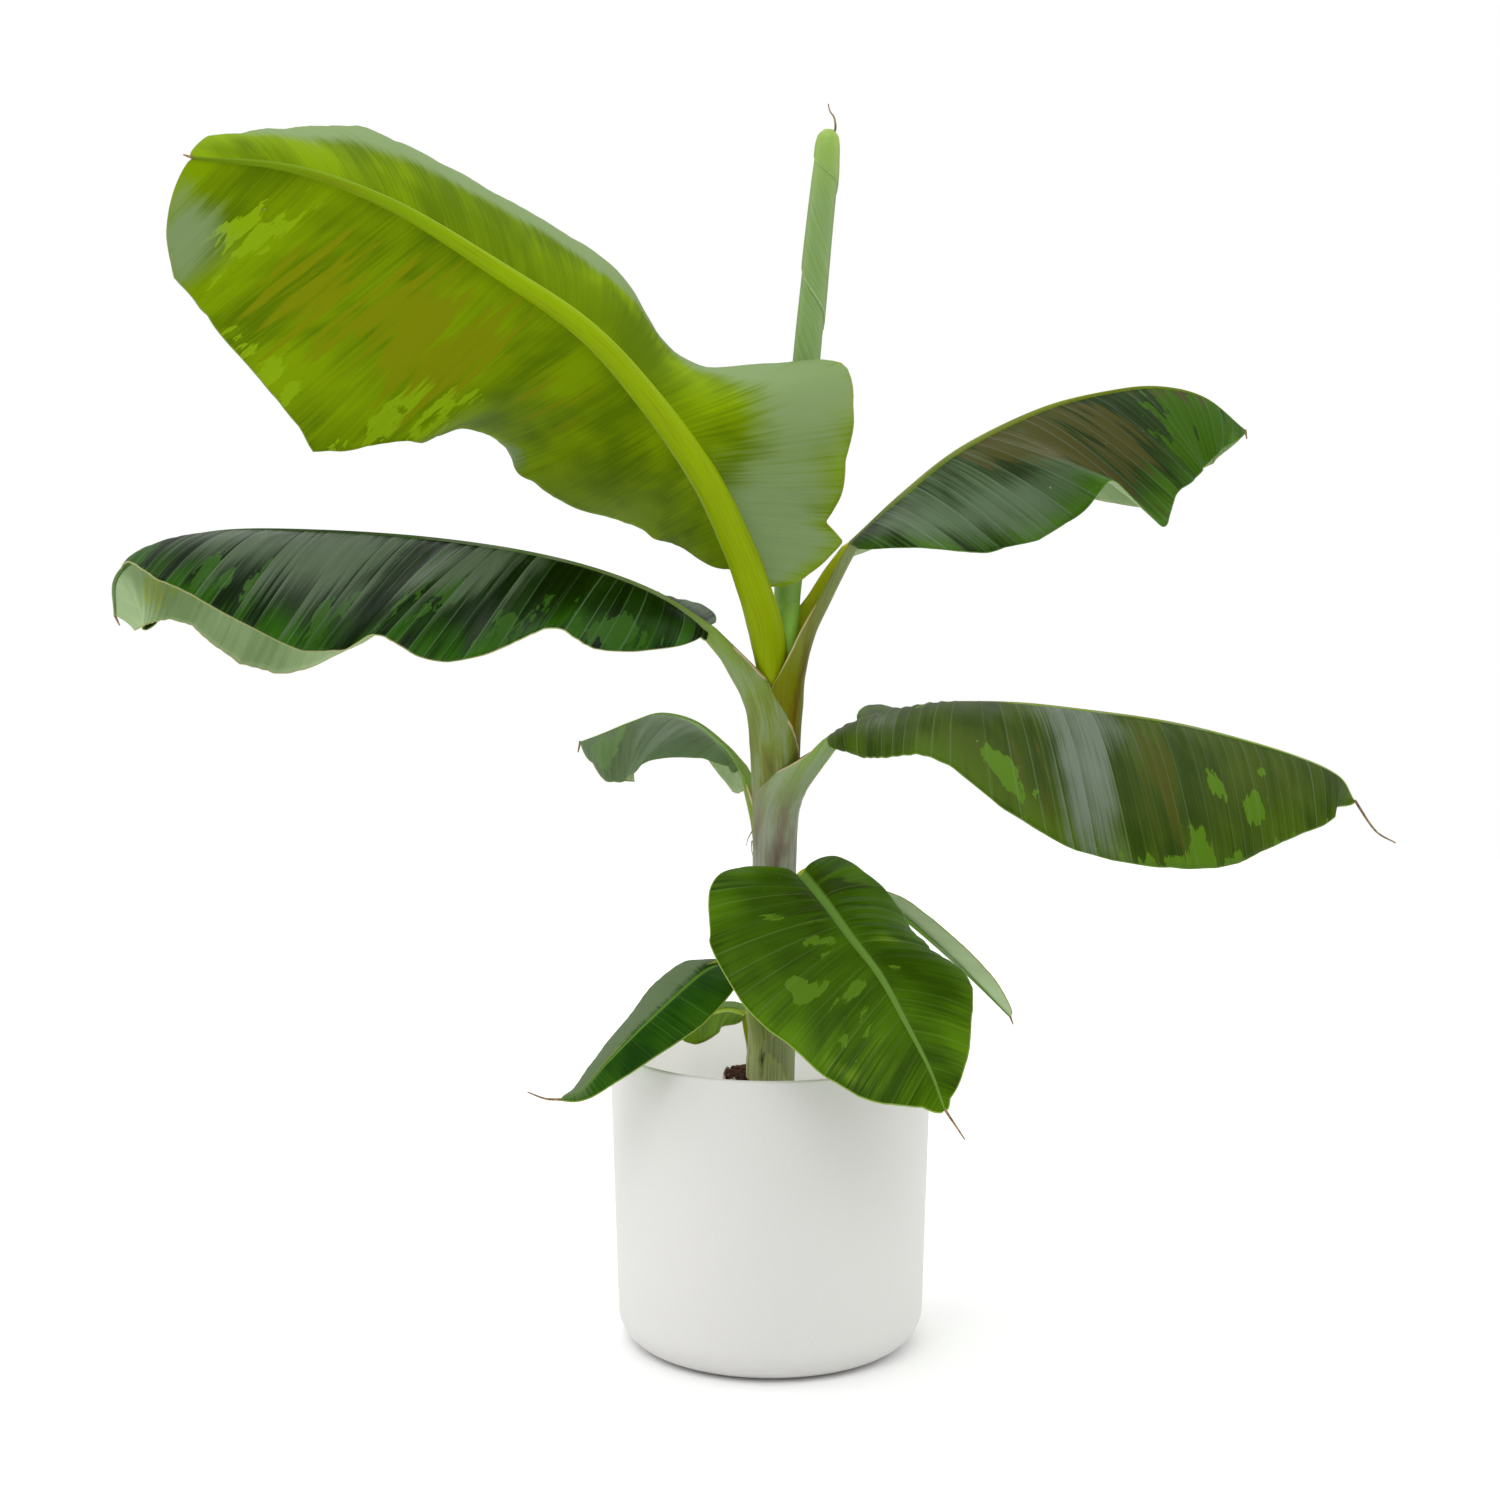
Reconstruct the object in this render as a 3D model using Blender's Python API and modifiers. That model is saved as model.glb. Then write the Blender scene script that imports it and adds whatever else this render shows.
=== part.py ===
"""Potted banana plant: white pot, soil, a stem of wrapped leaf bases, leaf stalks, leaves and a rolled leaf.

Metres, +Z up, origin at the middle of the pot's flat underside. The plant's front faces -Y.
"""

import math
from dataclasses import dataclass
from functools import partial

import bmesh
import bpy
import numpy as np
from mathutils import Vector

GAP = 0.0003
MERGE = 0.00002

# Pot, a turned shell
POT_HEIGHT = 0.240
POT_RIM_RADIUS = 0.125
POT_FOOT_RADIUS = 0.1195
POT_CORNER = 0.028
POT_WALL = 0.004
POT_FLOOR = 0.005
POT_STEPS = 48
CORNER_STEPS = 5

# Soil in the pot, and the clump of the young plant's root ball that stands out of it
SOIL_TOP = 0.168
SOIL_CROWN = 0.004
SOIL_LEVEL_RADIUS = 0.040
SOIL_SLOPE_RADIUS = 0.085
GROUND = SOIL_TOP + SOIL_CROWN + GAP
CLUMP_CENTRE = (-0.011, 0.014)
CLUMP_RADIUS = 0.027
CLUMP_TOP = 0.214

# Stem of wrapped leaf bases: (x, y, z) of its axis and its radius there
STEM_AXIS = (
    (0.000, 0.000, SOIL_TOP),
    (-0.0005, 0.000, 0.212),
    (0.0015, 0.000, 0.300),
    (0.0035, 0.000, 0.375),
    (0.0060, 0.000, 0.440),
    (0.0068, 0.000, 0.520),
)
STEM_RADII = (0.0205, 0.0178, 0.0174, 0.0176, 0.0182, 0.0180)
STEM_ROWS = 12
# The cutter that levels the stem's foot reaches out this far, and down this far below the soil's edge
GROUND_CUTTER_RADIUS = 0.06
GROUND_CUTTER_DEPTH = 0.02

# Faces round a tube, as the curve's bevel resolution, and round an upright cylinder
STEM_SIDES = 6
ROLL_SIDES = 4
STALK_SIDES = 3
RIB_SIDES = 1
CYLINDER_SIDES = 20
STALK_ROWS = 4

# A blade's thickness as a share of its length, and the least share of that where the blade is narrow
BLADE_THICKNESS = 0.0102
BLADE_THINNEST = 0.3
# How much closer the blade's rows are at its two ends, where its outline turns quickest
ROW_CROWDING = 0.035
# How far the rib starts inside its stalk, before it is cut clear, and how far it hangs below the blade
RIB_TIP_RADIUS = 0.0011
RIB_TAPER = 0.9
RIB_OVERLAP = 0.002
RIB_DROP = 0.35
RIB_DROP_START = 8
THREAD_TAPER = 0.6


@dataclass(frozen=True)
class Fold:
    """A place where a half's margin is bent, at a share of the rib's length and reaching a share each way.

    hinge and droop are the degrees more at the rib and at the margin, wider a share of the width more,
    forward a share of the width nearer the tip.
    """

    at: float
    reach: float
    hinge: float = 0.0
    droop: float = 0.0
    wider: float = 0.0
    forward: float = 0.0


@dataclass(frozen=True)
class Half:
    """One side of a blade, from the rib to its margin.

    inner and outer are how far the half droops below the blade's own face, in degrees, at the rib and at
    the margin, at stations evenly spaced from the base to the tip. A negative droop is raised. lean is how
    far the veins reach forward at the margin, as a share of the half's width, at such stations too.
    """

    width: float
    inner: tuple
    outer: tuple
    lean: tuple = (-0.3, 0.2, 0.3, 0.35, 0.5, 0.8)
    folds: tuple = ()
    begin: float = 0.0
    widest: float = 0.45
    end: float = 1.0
    base_power: float = 2.2
    tip_power: float = 2.3


@dataclass(frozen=True)
class Leaf:
    """A leaf: its stalk from the stem, its rib from the stalk's end, and its two halves.

    face holds the direction of the blade's upper side at the base, half way and at the tip.
    """

    name: str
    stalk: tuple
    stalk_radii: tuple
    rib: tuple
    face: tuple
    left: Half
    right: Half
    thread: tuple = ()
    rows: int = 18
    columns: int = 4


LEAVES = (
    Leaf(
        name="upper_left",
        stalk=(
            (-0.003, -0.010, 0.515),
            (-0.005, -0.015, 0.545),
            (-0.006, -0.021, 0.567),
            (-0.011, -0.030, 0.590),
        ),
        stalk_radii=(0.0135, 0.0138, 0.0130, 0.0112),
        rib=(
            (-0.011, -0.030, 0.590),
            (-0.025, -0.045, 0.630),
            (-0.051, -0.072, 0.686),
            (-0.093, -0.104, 0.747),
            (-0.135, -0.133, 0.794),
            (-0.192, -0.166, 0.835),
            (-0.260, -0.201, 0.878),
            (-0.324, -0.226, 0.902),
            (-0.390, -0.238, 0.909),
        ),
        face=((-0.11, 0.91, 0.39), (-0.15, 0.92, 0.36), (-0.24, 0.93, 0.31)),
        left=Half(
            width=0.130,
            inner=(-5, -5, -40, -55, -55, -62, -62),
            outer=(5, -10, -95, -118, -115, -110, -95),
            lean=(-0.6, -0.6, -0.4, 0.3, 0.5, 0.5, 0.6),
            folds=(
                Fold(0.26, 0.05, hinge=15, droop=40, wider=0.03),
                Fold(0.36, 0.05, hinge=-15, droop=-20),
            ),
            begin=0.02,
            widest=0.36,
            base_power=1.3,
            tip_power=1.9,
        ),
        right=Half(
            width=0.178,
            inner=(-42, -45, -25, -10, 0, 0, 0),
            outer=(-65, -62, -35, -5, 0, 0, 0),
            lean=(-0.4, -0.4, -0.1, 0.05, 0.3, 0.5, 0.9),
            folds=(
                Fold(0.39, 0.06, droop=-28),
                Fold(0.50, 0.04, wider=-0.07),
                Fold(0.60, 0.05, forward=-0.1, wider=0.04),
            ),
            begin=0.05,
            widest=0.58,
            base_power=1.6,
            tip_power=1.8,
        ),
        thread=((-0.396, -0.240, 0.911),),
        rows=24,
        columns=6,
    ),
    Leaf(
        name="left",
        stalk=(
            (0.000, 0.000, 0.440),
            (-0.006, -0.002, 0.490),
            (-0.021, -0.008, 0.524),
            (-0.035, -0.014, 0.547),
            (-0.047, -0.020, 0.565),
        ),
        stalk_radii=(0.0145, 0.0138, 0.0112, 0.0092, 0.0084),
        rib=(
            (-0.047, -0.020, 0.565),
            (-0.084, -0.028, 0.592),
            (-0.128, -0.036, 0.612),
            (-0.187, -0.046, 0.628),
            (-0.260, -0.056, 0.639),
            (-0.333, -0.066, 0.644),
            (-0.405, -0.074, 0.643),
            (-0.454, -0.080, 0.631),
            (-0.481, -0.084, 0.611),
            (-0.484, -0.080, 0.582),
        ),
        face=((0.0, 0.1, 1.0), (-0.1, 0.1, 1.0), (-0.5, 0.6, 0.2)),
        left=Half(
            width=0.115,
            inner=(10, 25, 30, 30, 25, 10),
            outer=(80, 95, 95, 95, 90, 70),
            lean=(-0.2, 0.3, 0.6, 0.6, 0.8, 0.8),
            folds=(Fold(0.20, 0.06, droop=-50), Fold(0.385, 0.045, droop=-40)),
            widest=0.40,
            end=0.93,
            base_power=1.8,
            tip_power=1.3,
        ),
        right=Half(
            width=0.115,
            inner=(-25, 10, 10, 20, 30, 30),
            outer=(-30, 50, 60, 100, 100, 90),
            lean=(-0.4, 0.2, 0.3, 0.4, 0.5, 0.5),
            folds=(Fold(0.58, 0.10, hinge=15, droop=15, wider=0.2),),
            end=0.97,
            tip_power=1.4,
        ),
        thread=((-0.481, -0.078, 0.574),),
        rows=22,
        columns=4,
    ),
    Leaf(
        name="upper_right",
        stalk=(
            (0.018, 0.002, 0.515),
            (0.027, 0.002, 0.555),
            (0.040, 0.007, 0.588),
            (0.050, 0.013, 0.610),
            (0.058, 0.018, 0.624),
        ),
        stalk_radii=(0.0125, 0.0118, 0.0102, 0.0092, 0.0085),
        rib=(
            (0.058, 0.018, 0.624),
            (0.099, 0.030, 0.664),
            (0.145, 0.040, 0.699),
            (0.207, 0.050, 0.728),
            (0.261, 0.056, 0.741),
            (0.300, 0.059, 0.744),
            (0.336, 0.060, 0.735),
            (0.367, 0.058, 0.710),
        ),
        face=((-0.5, 0.2, 1.0), (-0.3, 0.2, 1.0), (0.2, 0.1, 1.0)),
        left=Half(
            width=0.100,
            inner=(-5, 5, 15, 20, 20, 10),
            outer=(20, 50, 80, 85, 80, 60),
            lean=(-0.3, 0.3, 0.5, 0.6, 0.5, 0.6),
        ),
        right=Half(
            width=0.116,
            inner=(0, 30, 40, 40, 40, 20),
            outer=(50, 90, 100, 95, 90, 70),
            lean=(0.0, 0.1, 0.5, 0.6, 0.4, 0.6),
            folds=(Fold(0.36, 0.045, droop=-65), Fold(0.48, 0.045, droop=10, wider=0.2, forward=-0.1)),
            widest=0.4,
            tip_power=1.5,
        ),
        thread=((0.368, 0.056, 0.703),),
    ),
    Leaf(
        name="right",
        stalk=(
            (0.004, 0.000, 0.385),
            (0.010, -0.002, 0.428),
            (0.022, -0.007, 0.455),
            (0.033, -0.012, 0.470),
            (0.044, -0.015, 0.480),
        ),
        stalk_radii=(0.0145, 0.0138, 0.0116, 0.0102, 0.0095),
        rib=(
            (0.044, -0.015, 0.480),
            (0.075, -0.020, 0.495),
            (0.120, -0.030, 0.508),
            (0.172, -0.040, 0.513),
            (0.231, -0.050, 0.509),
            (0.305, -0.060, 0.499),
            (0.379, -0.070, 0.480),
            (0.420, -0.078, 0.463),
            (0.433, -0.083, 0.444),
        ),
        face=((-0.2, 0.1, 1.0), (0.1, 0.1, 1.0), (0.3, 0.0, 1.0)),
        left=Half(
            width=0.112,
            inner=(-30, 0, 10, 15, 10, 5),
            outer=(-45, 60, 80, 85, 80, 60),
            lean=(-0.2, 0.2, 0.3, 0.3, 0.4, 0.7),
            begin=0.06,
        ),
        right=Half(
            width=0.134,
            inner=(-20, -10, 15, 25, 30, 20),
            outer=(40, 50, 85, 90, 90, 70),
            lean=(0.0, -0.1, 0.2, 0.25, 0.4, 0.5),
            folds=(Fold(0.20, 0.08, droop=-10),),
            widest=0.52,
            tip_power=1.5,
        ),
        thread=((0.448, -0.088, 0.422), (0.463, -0.090, 0.413)),
        rows=20,
        columns=4,
    ),
    Leaf(
        name="front_low",
        stalk=(
            (0.003, -0.006, 0.315),
            (0.009, -0.024, 0.352),
            (0.016, -0.040, 0.375),
            (0.022, -0.052, 0.384),
        ),
        stalk_radii=(0.0110, 0.0090, 0.0078, 0.0072),
        rib=(
            (0.022, -0.052, 0.384),
            (0.040, -0.082, 0.368),
            (0.058, -0.112, 0.348),
            (0.079, -0.142, 0.325),
            (0.096, -0.170, 0.298),
            (0.113, -0.196, 0.268),
            (0.123, -0.208, 0.242),
        ),
        face=((0.1, -0.5, 0.8), (0.1, -0.65, 0.7), (0.15, -0.75, 0.5)),
        left=Half(
            width=0.077,
            inner=(-15, 0, 0, 0, 0, 0),
            outer=(10, 40, 40, 30, 30, 20),
            lean=(-0.5, 0.0, 0.3, 0.5, 0.6, 0.8),
            folds=(Fold(0.25, 0.07, droop=15), Fold(0.45, 0.05, wider=0.08)),
            widest=0.38,
            base_power=1.7,
            tip_power=1.3,
        ),
        right=Half(
            width=0.099,
            inner=(-15, -5, 0, 0, 0, 0),
            outer=(15, 15, 20, 25, 20, 10),
            lean=(-0.8, -0.1, 0.3, 0.6, 0.8, 0.9),
            widest=0.32,
            tip_power=1.2,
        ),
        thread=((0.130, -0.212, 0.232), (0.137, -0.216, 0.222)),
    ),
    Leaf(
        name="left_low",
        stalk=(
            (-0.004, -0.005, 0.252),
            (-0.017, -0.026, 0.292),
            (-0.029, -0.040, 0.309),
            (-0.037, -0.050, 0.314),
        ),
        stalk_radii=(0.0085, 0.0066, 0.0056, 0.0050),
        rib=(
            (-0.037, -0.050, 0.314),
            (-0.050, -0.066, 0.312),
            (-0.068, -0.082, 0.300),
            (-0.097, -0.100, 0.276),
            (-0.123, -0.112, 0.251),
            (-0.141, -0.118, 0.232),
            (-0.156, -0.120, 0.225),
        ),
        face=((-0.3, -0.45, 0.8), (-0.3, -0.4, 0.8), (-0.2, -0.4, 0.8)),
        left=Half(
            width=0.040,
            inner=(0, 0, 5, 5, 5),
            outer=(10, 15, 15, 15, 10),
            lean=(-0.4, 0.0, 0.0, 0.1, 0.3),
            widest=0.36,
            tip_power=1.2,
        ),
        right=Half(
            width=0.036,
            inner=(0, 0, 10, 15, 10),
            outer=(10, 25, 35, 35, 30),
            lean=(-0.5, 0.1, 0.2, 0.4, 0.6),
            widest=0.36,
        ),
        thread=((-0.168, -0.121, 0.226), (-0.181, -0.121, 0.231)),
        rows=12,
        columns=3,
    ),
    Leaf(
        name="back_left",
        stalk=(
            (-0.004, 0.006, 0.392),
            (-0.012, 0.020, 0.413),
            (-0.018, 0.033, 0.436),
            (-0.022, 0.041, 0.449),
        ),
        stalk_radii=(0.0090, 0.0074, 0.0062, 0.0058),
        rib=(
            (-0.022, 0.041, 0.449),
            (-0.036, 0.050, 0.465),
            (-0.060, 0.062, 0.482),
            (-0.087, 0.072, 0.487),
            (-0.110, 0.080, 0.479),
            (-0.134, 0.086, 0.468),
            (-0.151, 0.090, 0.461),
        ),
        face=((0.2, -0.1, 1.0), (-0.1, -0.1, 1.0), (-0.3, -0.1, 1.0)),
        left=Half(
            width=0.062,
            inner=(0, 0, 10, 20, 20),
            outer=(50, 65, 85, 90, 90),
            lean=(-0.3, 0.2, 0.3, 0.3, 0.2),
            folds=(Fold(0.11, 0.10, wider=-0.42), Fold(0.36, 0.10, wider=0.14), Fold(0.86, 0.14, wider=-0.22)),
            widest=0.65,
            tip_power=3.5,
        ),
        right=Half(
            width=0.045,
            inner=(20, 20, 30, 30, 20),
            outer=(110, 100, 90, 80, 60),
            lean=(-0.85, 0.2, 0.3, 0.4, 0.4),
            widest=0.35,
        ),
        thread=((-0.153, 0.092, 0.452),),
        rows=12,
        columns=3,
    ),
    Leaf(
        name="right_low",
        stalk=(
            (0.006, 0.005, 0.300),
            (0.026, 0.024, 0.334),
            (0.044, 0.038, 0.349),
            (0.056, 0.046, 0.353),
        ),
        stalk_radii=(0.0085, 0.0068, 0.0058, 0.0052),
        rib=(
            (0.056, 0.046, 0.353),
            (0.082, 0.056, 0.344),
            (0.108, 0.065, 0.326),
            (0.144, 0.078, 0.291),
            (0.172, 0.088, 0.261),
            (0.194, 0.096, 0.236),
        ),
        face=((0.2, 0.0, 1.0), (0.5, -0.1, 0.8), (0.6, -0.1, 0.7)),
        left=Half(
            width=0.040,
            inner=(0, -4, -6, -6, -5),
            outer=(15, 0, -4, -6, -6),
        ),
        right=Half(
            width=0.030,
            inner=(-15, -25, -30, -32, -30),
            outer=(-20, -30, -36, -38, -35),
        ),
        thread=((0.197, 0.097, 0.228),),
        rows=12,
        columns=3,
    ),
    Leaf(
        name="small_low",
        stalk=(
            (-0.008, 0.006, 0.214),
            (-0.015, 0.022, 0.232),
            (-0.020, 0.036, 0.252),
        ),
        stalk_radii=(0.0050, 0.0038, 0.0032),
        rib=(
            (-0.020, 0.036, 0.252),
            (-0.034, 0.042, 0.254),
            (-0.054, 0.047, 0.247),
            (-0.072, 0.050, 0.234),
        ),
        face=((0.0, -0.4, 0.9), (-0.1, -0.5, 0.85), (-0.2, -0.5, 0.8)),
        left=Half(width=0.022, inner=(0, 5, 10, 10), outer=(20, 35, 40, 30)),
        right=Half(width=0.018, inner=(0, 5, 10, 10), outer=(20, 30, 30, 20)),
        thread=((-0.076, 0.051, 0.230),),
        rows=8,
        columns=2,
    ),
)

# Rolled young leaf: (x, y, z) of its axis and its radius there, with the thread at its tip
ROLL_AXIS = (
    (0.0105, 0.0060, 0.515),
    (0.0135, 0.0100, 0.600),
    (0.0270, 0.0180, 0.763),
    (0.0340, 0.0200, 0.838),
    (0.0408, 0.0200, 0.905),
    (0.0420, 0.0200, 0.922),
    (0.0428, 0.0200, 0.932),
    (0.0432, 0.0200, 0.936),
)
ROLL_RADII = (0.0108, 0.0108, 0.0106, 0.0106, 0.0102, 0.0095, 0.0070, 0.0030)
ROLL_STRAIGHT = 5
ROLL_ROWS = 12
ROLL_THREAD = (
    (0.0450, 0.0200, 0.9250),
    (0.0465, 0.0200, 0.9330),
    (0.0475, 0.0200, 0.9385),
    (0.0465, 0.0195, 0.9460),
    (0.0425, 0.0190, 0.9550),
)
ROLL_THREAD_RADII = (0.0016, 0.0006)
ROLL_THREAD_ROWS = 8


def smooth_line(points, count, steps=24):
    """Points evenly spaced by length on a smooth curve through the points given."""
    knots = np.array(points, float)
    if len(knots) == 1:
        return knots
    padded = np.vstack([2 * knots[0] - knots[1], knots, 2 * knots[-1] - knots[-2]])
    dense = []
    for a, b, c, d in zip(padded, padded[1:], padded[2:], padded[3:]):
        for t in np.linspace(0, 1, steps, endpoint=False):
            square = (2 * a - 5 * b + 4 * c - d) * t**2
            cube = (3 * b - a - 3 * c + d) * t**3
            dense.append(0.5 * (2 * b + (c - a) * t + square + cube))
    dense.append(knots[-1])
    dense = np.array(dense)
    run = np.concatenate([[0], np.cumsum(np.linalg.norm(np.diff(dense, axis=0), axis=1))])
    wanted = np.linspace(0, run[-1], count)
    return np.stack([np.interp(wanted, run, dense[:, axis]) for axis in range(3)], axis=1)


def along(values, u):
    """The value at u, from 0 to 1, of stations evenly spaced along a leaf, smoothed between them."""
    place = u * (len(values) - 1)
    low = min(int(place), len(values) - 2)
    share = place - low
    eased = share * share * (3 - 2 * share)
    return values[low] + (values[low + 1] - values[low]) * eased


def unit(vector):
    return vector / np.linalg.norm(vector)


def line_length(line):
    return float(np.linalg.norm(np.diff(line, axis=0), axis=1).sum())


class Blade:
    """The surface of one leaf's blade: place(u, v), u along the rib and v across, -1 left to 1 right."""

    SAMPLES = 160
    START = 0.012
    BASE_WIDTH = 0.05
    TIP_WIDTH = 0.02
    TIP_ROUNDING = 0.85
    STRAIGHT = 1e-4

    def __init__(self, leaf):
        self.leaf = leaf
        self.line = smooth_line(leaf.rib, self.SAMPLES)
        self.length = line_length(self.line)
        self.tangents = np.gradient(self.line, axis=0)
        self.tangents /= np.linalg.norm(self.tangents, axis=1)[:, None]

    def frame(self, u):
        """The rib's point, its direction, the blade's right-hand side and its upper face there."""
        place = u * (self.SAMPLES - 1)
        low = min(int(place), self.SAMPLES - 2)
        share = place - low
        point = self.line[low] * (1 - share) + self.line[low + 1] * share
        forward = unit(self.tangents[low] * (1 - share) + self.tangents[low + 1] * share)
        face = along([unit(np.array(face, float)) for face in self.leaf.face], u)
        up = unit(face - forward * face.dot(forward))
        return point, forward, np.cross(forward, up), up

    def outline(self, half, u):
        """The half's width at u as a share of its widest."""
        if u < half.widest:
            share = 1 - (1 - max(0, u - half.begin) / (half.widest - half.begin)) ** half.base_power
            return self.BASE_WIDTH + (1 - self.BASE_WIDTH) * math.sqrt(share)
        share = 1 - (min(1, (u - half.widest) / (half.end - half.widest))) ** half.tip_power
        return self.TIP_WIDTH + (1 - self.TIP_WIDTH) * share**self.TIP_ROUNDING

    def place(self, u, v):
        """The point of the blade at u and v: a row across a half is an arc from the rib to the margin."""
        point, forward, side, up = self.frame(u)
        half = self.leaf.right if v >= 0 else self.leaf.left
        side = side if v >= 0 else -side
        v = abs(v)
        width = half.width * self.outline(half, u)
        inner, outer, lean = along(half.inner, u), along(half.outer, u), along(half.lean, u)
        for fold in half.folds:
            share = math.exp(-(((u - fold.at) / fold.reach) ** 2))
            inner += fold.hinge * share
            outer += fold.droop * share
            width *= 1 + fold.wider * share
            lean += fold.forward * share
        inner, turn = math.radians(inner), math.radians(outer - inner)
        turn = turn if abs(turn) > self.STRAIGHT else self.STRAIGHT
        across = (math.sin(inner + turn * v) - math.sin(inner)) / turn
        down = (math.cos(inner) - math.cos(inner + turn * v)) / turn
        return point + width * (side * across - up * down + forward * lean * v)


def scene_cleared():
    for old in list(bpy.data.objects):
        bpy.data.objects.remove(old)


def collection_named(name):
    made = bpy.data.collections.new(name)
    bpy.context.scene.collection.children.link(made)
    return made


def finish(name, colour, roughness):
    """A plain Principled material."""
    material = bpy.data.materials.new(name)
    material.use_nodes = True
    shader = material.node_tree.nodes["Principled BSDF"]
    shader.inputs["Base Color"].default_value = (*colour, 1)
    shader.inputs["Roughness"].default_value = roughness
    return material


def object_from(mesh, name, collection, material=None):
    made = bpy.data.objects.new(name, mesh)
    collection.objects.link(made)
    if material:
        mesh.materials.clear()
        mesh.materials.append(material)
    return made


def turned(name, profile, steps, collection, material):
    """A turned solid from an (r, z) profile that runs down its outer side."""
    mesh = bpy.data.meshes.new(name)
    mesh.from_pydata([(r, 0, z) for r, z in profile], [(i, i + 1) for i in range(len(profile) - 1)], [])
    made = object_from(mesh, name, collection, material)
    screw = made.modifiers.new("turn", "SCREW")
    screw.steps = screw.render_steps = steps
    screw.use_merge_vertices = True
    screw.merge_threshold = MERGE
    screw.use_smooth_shade = True
    return made


def tube(name, line, radii, sides, collection, grow=0.0):
    """A closed mesh tube along a line, with a radius at each point, made larger all round by grow.

    sides is the curve's bevel resolution.
    """
    line, radii = [np.array(place, float) for place in line], list(radii)
    if grow:
        line.insert(0, line[0] + unit(line[0] - line[1]) * grow)
        line.append(line[-1] + unit(line[-1] - line[-2]) * grow)
        radii = [radii[0], *radii, radii[-1]]
    curve = bpy.data.curves.new(name, "CURVE")
    curve.dimensions = "3D"
    curve.bevel_depth = 1.0
    curve.bevel_resolution = sides
    curve.use_fill_caps = True
    spline = curve.splines.new("POLY")
    spline.points.add(len(line) - 1)
    for point, place, radius in zip(spline.points, line, radii):
        point.co = (*place, 1)
        point.radius = radius + grow
    source = object_from(curve, name + "_line", collection)
    graph = bpy.context.evaluated_depsgraph_get()
    mesh = bpy.data.meshes.new_from_object(source.evaluated_get(graph))
    bpy.data.objects.remove(source)
    shell = bmesh.new()
    shell.from_mesh(mesh)
    bmesh.ops.remove_doubles(shell, verts=shell.verts, dist=MERGE)
    bmesh.ops.recalc_face_normals(shell, faces=shell.faces)
    shell.to_mesh(mesh)
    shell.free()
    mesh.shade_smooth()
    return object_from(mesh, name, collection)


def tapered_line(points, radii, count):
    """A smooth line through points, and the radii spread along it in the same way."""
    line = smooth_line(points, count)
    knots = np.array(points, float)
    run = np.concatenate([[0], np.cumsum(np.linalg.norm(np.diff(knots, axis=0), axis=1))])
    return line, np.interp(np.linspace(0, run[-1], count), run, radii)


def applied(target, operation, others, solver="EXACT"):
    """Target with the Boolean applied for each of the others, which are then removed."""
    for other in others:
        boolean = target.modifiers.new("join", "BOOLEAN")
        boolean.operation = operation
        boolean.solver = solver
        boolean.object = other
    graph = bpy.context.evaluated_depsgraph_get()
    mesh = bpy.data.meshes.new_from_object(target.evaluated_get(graph))
    target.modifiers.clear()
    target.data = mesh
    for other in others:
        bpy.data.objects.remove(other)
    return target


def crumbs_dropped(target):
    """Target with only its largest connected piece left."""
    shell = bmesh.new()
    shell.from_mesh(target.data)
    loose = set(shell.verts)
    pieces = []
    while loose:
        piece, edge = set(), {loose.pop()}
        while edge:
            piece |= edge
            edge = {link.other_vert(vert) for vert in edge for link in vert.link_edges} - piece
        loose -= piece
        pieces.append(piece)
    pieces.sort(key=len)
    bmesh.ops.delete(shell, geom=[vert for piece in pieces[:-1] for vert in piece])
    shell.to_mesh(target.data)
    shell.free()
    return target


def painted(target, material):
    target.data.materials.clear()
    target.data.materials.append(material)
    return target


def pot_profile(wall, floor):
    """The pot's side from the rim down to the middle of its foot, set in by the wall."""
    foot = POT_FOOT_RADIUS - wall
    corner = POT_CORNER - wall * 0.5
    points = [(POT_RIM_RADIUS - wall, POT_HEIGHT)]
    for step in range(CORNER_STEPS + 1):
        angle = math.pi / 2 * step / CORNER_STEPS
        points.append((foot - corner + corner * math.cos(angle), floor + corner - corner * math.sin(angle)))
    points.append((0, floor))
    return points


def make_pot(collection, material):
    outer = pot_profile(0, 0)
    inner = pot_profile(POT_WALL, POT_FLOOR)[::-1]
    lip = POT_WALL * 0.25
    outer[0] = (POT_RIM_RADIUS, POT_HEIGHT - lip)
    inner[-1] = (POT_RIM_RADIUS - POT_WALL, POT_HEIGHT - lip)
    rim = [(POT_RIM_RADIUS - POT_WALL + lip, POT_HEIGHT), (POT_RIM_RADIUS - lip, POT_HEIGHT)]
    return turned("pot", inner + rim + outer, POT_STEPS, collection, material)


def make_soil(collection, material):
    """Soil that fills the pot, level where the stem stands and a little lower at the wall."""
    side = pot_profile(POT_WALL + GAP, POT_FLOOR + GAP)
    top_radius = np.interp(SOIL_TOP, [POT_CORNER, POT_HEIGHT], [side[1][0], side[0][0]])
    level = SOIL_TOP + SOIL_CROWN
    slope = SOIL_TOP + SOIL_CROWN * 0.4
    top = [(0, level), (SOIL_LEVEL_RADIUS, level), (SOIL_SLOPE_RADIUS, slope), (float(top_radius), SOIL_TOP)]
    profile = top + side[1:]
    return turned("potting_soil", profile, POT_STEPS, collection, material)


def stem_tube(name, collection, grow=0.0):
    line, radii = tapered_line(STEM_AXIS, STEM_RADII, STEM_ROWS)
    return tube(name, line, radii, STEM_SIDES, collection, grow)


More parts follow.
